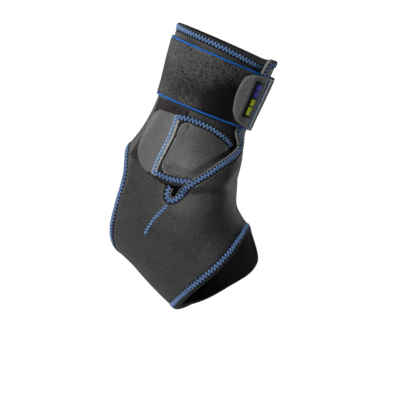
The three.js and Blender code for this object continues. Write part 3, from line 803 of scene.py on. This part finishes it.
wrapCut = form["band"] + wrapLook["slit"]
seamAngle = float(flapBeside(farShare(wrapCut), wrapCut)[1])
wrapCloth = buildWrap()


# Sewn edge bands: a rounded section swept along each edge

bandLook = {
    "spacing": 1.6,
    # section: inward distance and height over the wrap's face, in mm; slot 0 face, 1 cut edge, 2 lining
    "section": [
        (6.5, -0.7, 0), (6.35, -0.25, 0), (5.9, 0.12, 0), (5.1, 0.3, 0), (4.0, 0.16, 0),
        (2.9, 0.1, 0), (1.9, 0.2, 0), (1.2, 0.26, 0), (0.7, 0.12, 1), (0.25, -0.25, 1),
        (0.03, -0.9, 1), (0.0, -1.6, 1), (0.12, -2.3, 1), (0.45, -2.8, 2), (1.2, -3.0, 2),
        (3.0, -3.0, 2), (5.0, -3.0, 2), (6.3, -2.95, 2), (6.5, -2.5, 2),
    ],
    "cutEdge": {"top": "rimCut", "toe": "rimCut", "heel": "rimCut", "front": "foamCut", "neck": "foamCut"},
    "paleTo": {"top": -3, "toe": -3, "heel": -3, "front": -2.2, "neck": -0.9},
    "names": {"top": ("top_band", "top_rim_binding"), "toe": ("toe_band", "toe_rim_binding"),
              "heel": ("heel_band", "heel_rim_binding"), "front": ("front_band", "front_edge_binding"),
              "neck": ("neck_band", "neck_binding")},
}


def sweepBand(key):
    edge = edges[key]
    share, length = evenShares(edge, 3.0, bandLook["spacing"])
    if edge["loop"]:
        share = share[:-1]
    section = bandLook["section"]
    grid = np.stack([edgePoint(edge, share, d, h) for d, h, _ in section], 1)  # share, section, xyz
    n, m = grid.shape[:2]
    rows = n if edge["loop"] else n - 1
    faces = ringFaces(n, m, edge["loop"])
    slots = np.tile([s if h > bandLook["paleTo"][key] else 2 for _, h, s in section], rows).tolist()
    if not edge["loop"]:
        faces += ringEnds(n, m)
        slots += [1, 1]
    run = np.linspace(0, length, n)
    around = np.array([d + abs(h) for d, h, _ in section])
    uv = np.stack(np.broadcast_arrays(run[:, None], around[None, :]), -1).reshape(-1, 2)
    name, cadNode = bandLook["names"][key]
    materials = [cloths[k] for k in ("bandFace", bandLook["cutEdge"][key], "liningKnit")]
    obj = makeMesh(name, grid.reshape(-1, 3), faces, materials, slots, uv)
    faceOut(obj)
    return belong(obj, cadNode)


bands = {key: sweepBand(key) for key in edges}
print("edge bands:", len(bands))
belong(wrapCloth, "wrap_body")


# Crossover strap: padded panel inside flat sewn hems

crossLook = {
    # station and angle of the upper edge, then of the lower edge, from the hook end to the front
    "rows": [(2.38, 95, 4.12, 89), (2.27, 74, 4.28, 79), (2.29, 50, 4.38, 68),
             (2.43, 29, 4.42, 57), (2.64, 13, 4.4, 48), (2.95, 2, 4.36, 40)],
    "panelFront": 83, "panelLift": 1.5, "hem": 1.6, "hemWidth": 7.4, "puff": 2.2, "edgeRound": 0.9,
    # inner pad: corner radius, groove beside it, pale strip along the hook side
    "corner": 6.0, "groove": 0.3, "strip": 5.0,
    "across": 110, "along": 150,
    "tabEdge": [(2.44, 120), (2.66, 127), (3.1, 126), (3.5, 118), (3.8, 106), (4.07, 92.5)],
    "tab": 1.4, "tabFlat": (0.027, 0.055), "tabArea": 0.00125,
}
crossTable = np.array(crossLook["rows"], float)
crossShare = np.linspace(0, 1, len(crossTable))


def crossPlace(u, v):
    us, ua, ls, la = (smoothColumn(crossShare, crossTable[:, k], u) for k in range(4))
    return mix(us, ls, v), mix(ua, la, v)


def crossLow(a):  # the strap climbs onto the loop panel
    front = crossLook["panelFront"]
    return form["layerGap"] + crossLook["panelLift"] * ease(front - 10, front - 1, a)


def crossHeights(u, v):
    s, a = crossPlace(u, v)
    low = crossLow(a)
    across = np.linalg.norm(skin(*crossPlace(u, 0 * v)) - skin(*crossPlace(u, 0 * v + 1)), axis=-1)
    fromHem = np.minimum(v, 1 - v) * across
    fromHook = np.linalg.norm(skin(s, a) - skin(*crossPlace(0 * u, v)), axis=-1)
    fromFlap = a - np.interp(s, *flapRows)
    insidePad = padDepth(fromHem, fromHook)
    rise = 0.35 * ease(0, 0.9, insidePad) + 0.65 * ease(0.3, 9, insidePad)
    puff = crossLook["puff"] * rise * ease(1, 14, fromFlap)
    groove = crossLook["groove"] * np.exp(-((insidePad + 0.35) / 0.45) ** 2) * ease(1, 6, fromFlap)
    return low, low + crossLook["hem"] + puff - groove, fromHem, fromHook


def padDepth(fromHem, fromHook):  # distance inside the pad's rounded outline
    across, along = fromHem - crossLook["hemWidth"], fromHook - crossLook["hemWidth"]
    r = crossLook["corner"]
    corner = r - np.hypot(np.maximum(r - across, 0), np.maximum(r - along, 0))
    return np.where((across < r) & (along < r), corner, np.minimum(across, along))


def crossRound(fromHem, fromHook, thick):  # rounds the outer face over the strap's own edges
    r = crossLook["edgeRound"]
    near = np.clip(np.minimum(fromHem, fromHook + 0.3) / r, 0, 1)
    return roundDrop(near) * np.minimum(thick, r)


def buildCross():
    across, along = crossLook["across"], crossLook["along"]
    v = mix(easedSteps(across), np.linspace(0, 1, across + 1), 0.6)[None, :] * np.ones((along + 1, 1))
    u = (np.linspace(0, 1, along + 1)[:, None] ** 1.3) * np.ones((1, across + 1))
    s, a = crossPlace(u, v)
    low, high, fromHem, fromHook = crossHeights(u, v)
    pts = skin(s, a)
    swell = 0.16 * hashNoise(pts, 22, 8) * ease(6, 12, fromHem)
    outer = layer(s, a, high + swell - crossRound(fromHem, fromHook, high - low))
    inner = layer(s, a, low)
    pad = padDepth(fromHem, fromHook)
    hem = np.where((fromHook < crossLook["strip"]) & (fromHem > 1.2), 3, 4)
    piping = (pad > -0.1) & (pad < 0.55) & (fromHook < crossLook["hemWidth"] + 9)
    face = np.where(piping, 3, np.where(pad > 0, 0, hem))
    materials = [cloths[k] for k in ("padFace", "rimCut", "liningKnit", "paleStrip", "bandFace")]
    obj = shell("crossover_cloth", outer, inner, materials, face[:-1, :-1].ravel())
    return belong(obj, "crossover_strap")


crossCloth = buildCross()


def tabGrid(free, rows, cols, low, thick, roundness):
    seamV = mix(0.01, 0.975, np.linspace(0, 1, rows + 1))
    ss, sa = crossPlace(np.zeros(rows + 1), seamV)
    sa = sa + form["seamGap"] / degreeLength(ss, sa)
    share = np.linspace(0, 1, len(free))
    table = np.array(free, float)
    fs = smoothColumn(share, table[:, 0], np.linspace(0, 1, rows + 1))
    fa = smoothColumn(share, table[:, 1], np.linspace(0, 1, rows + 1))
    v = easedSteps(cols)[None, :]
    s, a = mix(ss[:, None], fs[:, None], v), mix(sa[:, None], fa[:, None], v)
    pts = skin(s, a)
    run, down = runLengths(pts, 1), runLengths(pts, 0)
    toSide = np.minimum(run + 2, run[:, -1:] - run)
    toSide = np.minimum(toSide, np.minimum(down, down[-1:] - down))
    near = np.clip(toSide / roundness, 0, 1)
    drop = roundDrop(near) * min(thick, roundness)
    return s, a, low + thick - drop, toSide


def buildCrossTab():
    low = form["layerGap"] * 2 + 1.2
    s, a, high, toSide = tabGrid(crossLook["tabEdge"], 70, 60, low, crossLook["tab"], 0.8)
    high = high - 0.12 * np.exp(-((toSide - 2.2) / 0.4) ** 2)  # pressed line inside the edge
    outer, inner = layer(s, a, high + 0.08 * hashNoise(skin(s, a), 14, 5)), layer(s, a, low)
    obj = shell("crossover_tab", outer, inner, [cloths["hookTape"], cloths["rimCut"], cloths["rimCut"]])
    return belong(obj, "crossover_hook_tab")


crossTab = buildCrossTab()
print("crossover strap and tab built")


# Loop panel: short dark pile

# high and wide are rough sizes in mm that the edge rounding uses
panelLook = {
    "top": 2.12, "rearTop": 137, "rearLow": 124, "front": 83, "lowRear": 3.72, "lowFront": 4.06,
    "thick": 1.2, "pile": 0.22, "edge": 0.6, "rows": 90, "cols": 80, "flat": (0.041, 0.060),
    "area": 0.0022, "high": 52, "wide": 36,
}


def buildPanel():
    p = panelLook
    u, v = np.meshgrid(np.linspace(0, 1, p["rows"] + 1), np.linspace(0, 1, p["cols"] + 1), indexing="ij")
    s = mix(p["top"], mix(p["lowFront"], p["lowRear"], v), u)
    a = mix(p["front"], mix(p["rearTop"], p["rearLow"], u), v)
    pts = skin(s, a)
    rough = p["pile"] * hashNoise(pts, 0.9, 11) + 0.5 * p["pile"] * hashNoise(pts, 2.6, 12)
    side = np.minimum(np.minimum(u, 1 - u) * p["high"], (1 - v) * p["wide"])
    drop = (1 - np.clip(side / 1.2, 0, 1)) ** 2 * p["edge"]
    outer = layer(s, a, form["layerGap"] + p["thick"] + rough - drop)
    materials = [cloths[k] for k in ("loopPile", "loopPile", "rimCut")]
    obj = shell("pile_panel", outer, layer(s, a, form["layerGap"]), materials)
    return belong(obj, "loop_panel")


pilePanel = buildPanel()


# Elastic strap: plush face, woven blue edges

# width is a rough size in mm that the edges and the stitching use
strapLook = {
    "top": 0.38, "bottom": 2.05, "start": -21, "end": 350, "thick": 1.8, "pile": 0.07, "rows": 60,
    "cols": 440, "width": 48, "flat": (0.05, 0.287),
}


def strapLow(s, a):
    over = (strapLook["thick"] + form["layerGap"]) * ease(308, 336, a)
    return strapBase(s, a) + form["bandProud"] + form["layerGap"] + over


def buildStrap():
    p = strapLook
    edge = easedSteps(p["rows"])
    u, v = np.meshgrid(mix(np.linspace(0, 1, p["rows"] + 1), edge, 0.35), np.linspace(0, 1, p["cols"] + 1),
                       indexing="ij")
    s, a = mix(p["top"], p["bottom"], u), mix(p["start"], p["end"], v)
    pts = skin(s, a)
    low = strapLow(s, a)
    fromEdge = np.minimum(u, 1 - u) * p["width"]
    rough = p["pile"] * hashNoise(pts, 0.8, 21) + 0.6 * p["pile"] * hashNoise(pts, 2.2, 22)
    rough = (rough + 0.12 * hashNoise(pts, 9, 23)) * ease(1, 2.4, fromEdge)
    drop = (1 - ease(1.0, 3.2, fromEdge)) * 0.55
    outer = layer(s, a, low + p["thick"] + rough - drop)
    materials = [cloths[k] for k in ("plushBlack", "plushBlack", "liningKnit")]
    obj = shell("plush_strap", outer, layer(s, a, low), materials)
    return belong(obj, "elastic_strap")


def buildStrapEdge(name, station, sign):
    p = strapLook
    v = np.linspace(0, 1, 320)
    a = mix(p["start"] + 0.4, p["end"] - 0.2, v)
    perMm = 1 / stationLength(station, 90)
    section = [(-0.15, 0.5), (-0.2, 1.1), (0.1, 1.55), (0.7, 1.62), (1.3, 1.5), (1.5, 1.2), (1.4, 0.5),
               (0.6, 0.2)]
    grid = []
    for inward, height in section:
        s = np.full(a.shape, station) + sign * inward * perMm
        grid.append(layer(s, a, strapLow(s, a) + height))
    grid = np.stack(grid, 1)
    n, m = grid.shape[:2]
    faces = ringFaces(n, m, False) + ringEnds(n, m)
    run = runAlong(grid[:, 0])
    uv = np.stack(np.broadcast_arrays(run[:, None], np.arange(m)[None, :] * 0.5), -1).reshape(-1, 2)
    obj = makeMesh(name, grid.reshape(-1, 3), faces, [cloths["edgeBlue"]], None, uv)
    faceOut(obj)
    return belong(obj)


plushStrap = buildStrap()
strapEdges = [buildStrapEdge("strap_edge_top", strapLook["top"], 1),
              buildStrapEdge("strap_edge_low", strapLook["bottom"], -1)]
print("elastic strap built")


# Strap's hook tab and its label

# perDegree is the length of a degree round the leg in mm, for the stitching
tabLook = {
    "start": -9,
    "edge": [
        (0, 13), (0.04, 24), (0.12, 31), (0.25, 34.3), (0.45, 35.2), (0.65, 33.2), (0.8, 29.5),
        (0.91, 23), (0.97, 14.5), (1, 3),
    ],
    "inset": 0.03, "thick": 1.4, "rows": 90, "cols": 70, "perDegree": 0.62, "flat": (0.036, 0.0485),
    "area": 0.00154,
}
# high and wide are rough sizes in mm that the edge rounding uses
labelLook = {
    "top": 0.61, "bottom": 1.68, "front": 6.8, "rear": 20.8, "thick": 0.5, "rows": 40, "cols": 24,
    "high": 31, "wide": 10, "flat": (0.012, 0.032),
}


def tabEnd(height):  # angle of the tab's free edge at a share of its height
    return smoothColumn(*np.array(tabLook["edge"], float).T, height)


def tabLow(s, a):
    return strapBase(s, a) + form["bandProud"] + form["layerGap"] + strapLook["thick"] + form["tabGap"]


def buildTab():
    p = tabLook
    t = np.linspace(0, 1, p["rows"] + 1)
    height = (1 - np.cos(np.pi * t)) / 2
    v = easedSteps(p["cols"])
    down = mix(strapLook["top"] + p["inset"], strapLook["bottom"] - p["inset"], height)
    s = down[:, None] * np.ones((1, len(v)))
    a = mix(p["start"], tabEnd(height)[:, None], v[None, :])
    pts = skin(s, a)
    run, down = runLengths(pts, 1), runLengths(pts, 0)
    toSide = np.minimum(np.minimum(run, run[:, -1:] - run), np.minimum(down, down[-1:] - down))
    near = np.clip(toSide / 0.7, 0, 1)
    drop = roundDrop(near) * 0.7
    groove = 0.15 * np.exp(-((toSide - 2.0) / 0.35) ** 2)
    low = tabLow(s, a)
    outer = layer(s, a, low + p["thick"] - drop - groove + 0.06 * hashNoise(pts, 11, 31))
    frontStrip = np.where(run < 5.2, 3, 0)[:-1, :-1].ravel()
    materials = [cloths[k] for k in ("tabFace", "tabFace", "rimCut", "paleStrip")]
    obj = shell("strap_tab", outer, layer(s, a, low), materials, frontStrip)
    return belong(obj, "strap_hook_tab")


def labelPlace(u, v):
    return mix(labelLook["top"], labelLook["bottom"], u), mix(labelLook["front"], labelLook["rear"], v)


def labelLow(s, a):
    return tabLow(s, a) + tabLook["thick"] + form["layerGap"]


def buildLabel():
    p = labelLook
    u, v = np.meshgrid(np.linspace(0, 1, p["rows"] + 1), np.linspace(0, 1, p["cols"] + 1), indexing="ij")
    s, a = labelPlace(u, v)
    toSide = np.minimum(np.minimum(u, 1 - u) * p["high"], np.minimum(v, 1 - v) * p["wide"])
    drop = (1 - np.clip(toSide / 0.45, 0, 1)) ** 2 * 0.35
    low = labelLow(s, a)
    outer = layer(s, a, low + p["thick"] - drop)
    obj = shell("woven_label", outer, layer(s, a, low - 0.25), [cloths["labelBlack"]] * 3)
    return belong(obj, "strap_label")


def buildBars():
    # plain woven bars along the label: share down, share across, length and width shares, colour slot
    bars = [(0.07, 0.32, 0.17, 0.38, 0), (0.28, 0.32, 0.16, 0.38, 0), (0.49, 0.32, 0.17, 0.38, 1),
            (0.70, 0.32, 0.22, 0.38, 1)]
    verts, faces, slots, uvs = [], [], [], []
    for top, left, long, wide, slot in bars:
        u, v = np.meshgrid(np.linspace(top, top + long, 13), np.linspace(left, left + wide, 7), indexing="ij")
        s, a = labelPlace(u, v)
        fromEnds = np.minimum(u - top, top + long - u) * labelLook["high"]
        rim = np.minimum(fromEnds, np.minimum(v - left, left + wide - v) * labelLook["wide"])
        face = layer(s, a, labelLow(s, a) + labelLook["thick"] + 0.14 * np.clip(rim / 0.3, 0, 1) + 0.01)
        base = layer(s, a, labelLow(s, a) + labelLook["thick"] - 0.12)
        f = gridFaces(12, 6)
        block = np.concatenate([f, f[:, ::-1] + face.shape[0] * face.shape[1]] + sideFaces(face.shape[:2]))
        start = sum(len(x) for x in verts)
        verts.append(np.concatenate([face.reshape(-1, 3), base.reshape(-1, 3)]))
        faces.append(block + start)
        slots += [slot] * len(block)
        uvs.append(np.concatenate([clothUv(face).reshape(-1, 2)] * 2))
    obj = makeMesh("label_bars", np.concatenate(verts), np.concatenate(faces),
                   [cloths["barBlue"], cloths["barLime"]], slots, np.concatenate(uvs))
    faceOut(obj)
    return belong(obj)


strapTab = buildTab()
wovenLabel = buildLabel()
labelBars = buildBars()
print("hook tab and label built")


# Stitching: zigzag threads with a darker thread beside each as painted shade, ladder and running stitches

stitchLook = {
    # the offset and the drop here place the darker thread, which is painted shade, beside and below the pale
    # one
    "pitch": 3.25, "radius": 0.4, "shadeOffset": 0.62, "sides": 6, "shadeThreadDrop": 0.22,
    # edge, middle of the row inwards from the edge, its width, in mm
    "rows": [("top", 3.5, 4.2), ("toe", 4.2, 4.4), ("heel", 3.2, 4.4), ("front", 3.6, 4.2),
             ("neck", 3.5, 4.4)],
}


def zigzagLine(pointAt, length, width, shift, closed, pitch):
    # pointAt(share, across, arch) gives a point and a normal; across and arch are in mm
    legs = max(2, 2 * int(round(length / pitch)))
    per = 5
    k = np.arange(legs * per + (0 if closed else 1)) / per
    leg = np.floor(k).astype(int)
    t = k - leg
    side = np.where(leg % 2 == 0, 1 - 2 * t, 2 * t - 1)
    share = k / legs + shift / length
    if not closed:
        share = np.clip(share, 0, 1)
    arch = 0.30 * np.sin(np.pi * np.clip(t, 0, 1)) - 0.10
    pts, normals = pointAt(share % 1.0 if closed else share, side * width / 2, arch)
    return pts, normals, closed


def threadAndShade(pointAt, length, width, closed, pitch):  # a pale thread and, lower beside it, a darker blue one that is painted shade
    def shadeThreadPoint(share, across, arch):
        return pointAt(share, across, arch - stitchLook["shadeThreadDrop"])

    half = stitchLook["shadeOffset"] / 2
    return [zigzagLine(pointAt, length, width, -half, closed, pitch),
            zigzagLine(shadeThreadPoint, length, width, half, closed, pitch)]


def zigzagOnEdge(key, centre, width):
    edge = edges[key]
    even, length = evenShares(edge, centre, 1.0)
    grid = np.linspace(0, 1, len(even))

    def pointAt(share, across, arch):
        at = np.interp(share, grid, even)
        s, a = edge["place"](at, centre + across)
        lift = edge["lift"](s, a, at)
        return layer(s, a, lift + 0.32 + arch), tangents(s, a)[2]

    return threadAndShade(pointAt, length, width, edge["loop"], stitchLook["pitch"])


def zigzagOnPlaces(places, heightAt, width, pitch=None, withShadeThread=True, lift=0.14):
    dense = np.linspace(0, 1, 801)
    at = curveAt(places, dense)
    pts = skin(at[:, 0], at[:, 1])
    run = runAlong(pts)
    length = run[-1]

    def pointAt(share, across, arch):
        t = np.interp(share * length, run, dense)
        s, a = besidePath(places, np.clip(t, 0.003, 0.997), across)
        return layer(s, a, heightAt(s, a) + lift + arch), tangents(s, a)[2]

    if withShadeThread:
        return threadAndShade(pointAt, length, width, False, pitch or stitchLook["pitch"])
    return [zigzagLine(pointAt, length, width, 0, False, pitch or stitchLook["pitch"])]


def addThreads(name, lines, radius=None):
    materials = [cloths["threadPale"], cloths["threadPaintedShade"]]
    obj = threadPiece(name, lines, radius or stitchLook["radius"], materials, lambda k: k % 2,
                      stitchLook["sides"])
    return belong(obj)


edgeThreads = [addThreads(key + "_zigzag", zigzagOnEdge(key, centre, width))
               for key, centre, width in stitchLook["rows"]]


def crossHemHeight(s, a):
    return crossLow(a) + crossLook["hem"] + 0.05


def crossSeam(v0, v1, u0, u1):
    u = np.linspace(u0, u1, 9)
    v = np.linspace(v0, v1, 9)
    s, a = crossPlace(u, v)
    return list(zip(s.tolist(), a.tolist()))


upperHem = zigzagOnPlaces(crossSeam(0.055, 0.065, 0.03, 0.86), crossHemHeight, 4.2)
lowerHem = zigzagOnPlaces(crossSeam(0.94, 0.93, 0.03, 0.7), crossHemHeight, 4.2)
addThreads("crossover_zigzag", upperHem + lowerHem)
ladderLines = zigzagOnPlaces(crossSeam(0.03, 0.97, 0.024, 0.028), crossHemHeight, 2.9, 3.3, False, 0.36)
addThreads("ladder_stitch", ladderLines, 0.64)
dartPlaces = [(4.96, 66.5), (5.1, 71.4), (5.24, 77), (5.4, 83.4), (5.56, 90.5)]
dartLines = zigzagOnPlaces(dartPlaces, lambda s, a: wrapRelief(s, a) + 0.12, 3.2, 3.0)
dartThreads = addThreads("dart_zigzag", dartLines)


def tabFace(s, a):
    return tabLow(s, a) + tabLook["thick"]


frontSeam = [(mix(strapLook["top"], strapLook["bottom"], t), 0.6) for t in np.linspace(0.06, 0.94, 9)]
tabThreads = addThreads("tab_zigzag", zigzagOnPlaces(frontSeam, tabFace, 2.8, 2.6), 0.36)


def runningStitch(places, heightAt, stitch, gap):
    dense = np.linspace(0, 1, 1201)
    at = curveAt(places, dense)
    pts = skin(at[:, 0], at[:, 1])
    run = runAlong(pts)
    lines = []
    for k in range(int(run[-1] / (stitch + gap))):
        d = np.linspace(k * (stitch + gap), k * (stitch + gap) + stitch, 6)
        t = np.interp(d, run, dense)
        p = curveAt(places, t)
        arch = 0.16 * np.sin(np.pi * np.linspace(0, 1, 6)) - 0.06
        lines.append((layer(p[:, 0], p[:, 1], heightAt(p[:, 0], p[:, 1]) + arch),
                      tangents(p[:, 0], p[:, 1])[2], False))
    return lines


def insetTab(distance):  # a line inside the tab's rounded end
    t = np.linspace(0.03, 0.97, 41)
    height = (1 - np.cos(np.pi * t)) / 2
    s = mix(strapLook["top"] + tabLook["inset"], strapLook["bottom"] - tabLook["inset"], height)
    middle = (strapLook["top"] + strapLook["bottom"]) / 2
    s = middle + (s - middle) * (1 - 2 * distance / strapLook["width"])
    a = tabEnd(height) - distance / tabLook["perDegree"]
    return list(zip(s.tolist(), a.tolist()))


def plainThreads(name, lines, radius, material):
    obj = threadPiece(name, lines, radius, [material], None, 5)
    return belong(obj)


tabLines = runningStitch(insetTab(1.0), lambda s, a: tabFace(s, a) - 0.02, 2.0, 0.9)
tabStitch = plainThreads("tab_stitch", tabLines, 0.26, cloths["paleStrip"])
labelPlaces = [(mix(0.5, 1.78, t), 24.0) for t in np.linspace(0, 1, 9)]
labelLines = runningStitch(labelPlaces, lambda s, a: tabFace(s, a) + 0.05, 1.6, 0.9)
plainThreads("label_stitch", labelLines, 0.2, cloths["paleStrip"])
print("stitching built")


# Studio: pale floor, soft light, long lens

studio = {
    "azimuth": 25, "elevation": 5, "roll": 20.6, "distance": 1.6, "imageWidth": 400 / 1.16 * mm,
    "offRight": 0.01665, "offUp": -0.00755, "floor": -0.34,
    # light: azimuth and elevation from the object, distance, size, power, colour
    "lights": {
        "key": (-45, 27, 1.2, 0.36, 9, (1.0, 0.99, 0.98)),
        "leftBack": (-124, 6, 1.15, 0.5, 2.6, (0.99, 1.0, 1.0)),
        "rightRim": (124, 10, 1.3, 0.4, 3.6, (0.97, 0.98, 1.0)),
        "fill": (20, 8, 1.9, 1.4, 0.1, (1.0, 1.0, 1.0)),
    },
    "world": 0.025,
}


def cameraFrame():
    az, el, roll = (math.radians(studio[k]) for k in ("azimuth", "elevation", "roll"))
    right = Vector((math.cos(az), math.sin(az), 0))
    toward = Vector((math.sin(az) * math.cos(el), -math.cos(az) * math.cos(el), math.sin(el)))
    up = toward.cross(right)
    imageX = right * math.cos(roll) + up * math.sin(roll)
    imageY = -right * math.sin(roll) + up * math.cos(roll)
    return right, up, toward, imageX, imageY


right, up, toward, imageX, imageY = cameraFrame()
camera = bpy.data.objects.new("studioCamera", bpy.data.cameras.new("studioCamera"))
bpy.context.scene.collection.objects.link(camera)
camera.data.sensor_width = 36
camera.data.lens = 36 * studio["distance"] / studio["imageWidth"]
aim = right * studio["offRight"] + up * studio["offUp"]
camera.matrix_world = Matrix((imageX, imageY, toward)).transposed().to_4x4()
camera.location = aim + toward * studio["distance"]
bpy.context.scene.camera = camera

for name, (azimuth, elevation, distance, size, watts, colour) in studio["lights"].items():
    light = bpy.data.lights.new(name, "AREA")
    light.shape, light.size, light.energy, light.color = "SQUARE", size, watts, colour
    obj = bpy.data.objects.new(name, light)
    bpy.context.scene.collection.objects.link(obj)
    az, el = math.radians(azimuth), math.radians(elevation)
    # azimuth 0 is where the camera stands, positive to its right
    aheadFlat = Vector((toward.x, toward.y, 0)).normalized()
    asideFlat = toward.cross(Vector((0, 0, 1))).normalized()
    way = (asideFlat * -math.sin(az) + aheadFlat * math.cos(az)) * math.cos(el) + Vector((0, 0, math.sin(el)))
    obj.location = way * distance
    obj.rotation_euler = (-way).to_track_quat("-Z", "Y").to_euler()

world = bpy.data.worlds.new("studioWorld")
bpy.context.scene.world = world
world.use_nodes = True
tree = world.node_tree
back = tree.nodes["Background"]
back.inputs["Color"].default_value = (1, 1, 1, 1)
seen = node(tree, "LightPath").outputs["Is Camera Ray"]
tree.links.new(compute(tree, "MULTIPLY_ADD", seen, 1.1 - studio["world"], studio["world"]),
               back.inputs["Strength"])

floorMesh = bpy.data.meshes.new("studioFloor")
span = 30
corners = [(x * span, y * span, studio["floor"]) for x, y in ((-1, -1), (1, -1), (1, 1), (-1, 1))]
floorMesh.from_pydata(corners, [], [(0, 1, 2, 3)])
floor = bpy.data.objects.new("studioFloor", floorMesh)
bpy.context.scene.collection.objects.link(floor)
paper = bpy.data.materials.new("paleFloor")
paper.use_nodes = True
tree = paper.node_tree
shader = tree.nodes["Principled BSDF"]
shader.inputs["Base Color"].default_value = (0.86, 0.86, 0.86, 1)
shader.inputs["Roughness"].default_value = 0.9
shader.inputs["Specular IOR Level"].default_value = 0.0
shader.inputs["Emission Color"].default_value = (1, 1, 1, 1)
tree.links.new(node(tree, "LightPath").outputs["Is Camera Ray"], shader.inputs["Emission Strength"])
floorMesh.materials.append(paper)

scene = bpy.context.scene
scene.view_settings.view_transform = "Standard"
scene.view_settings.look = "None"
print("studio built")
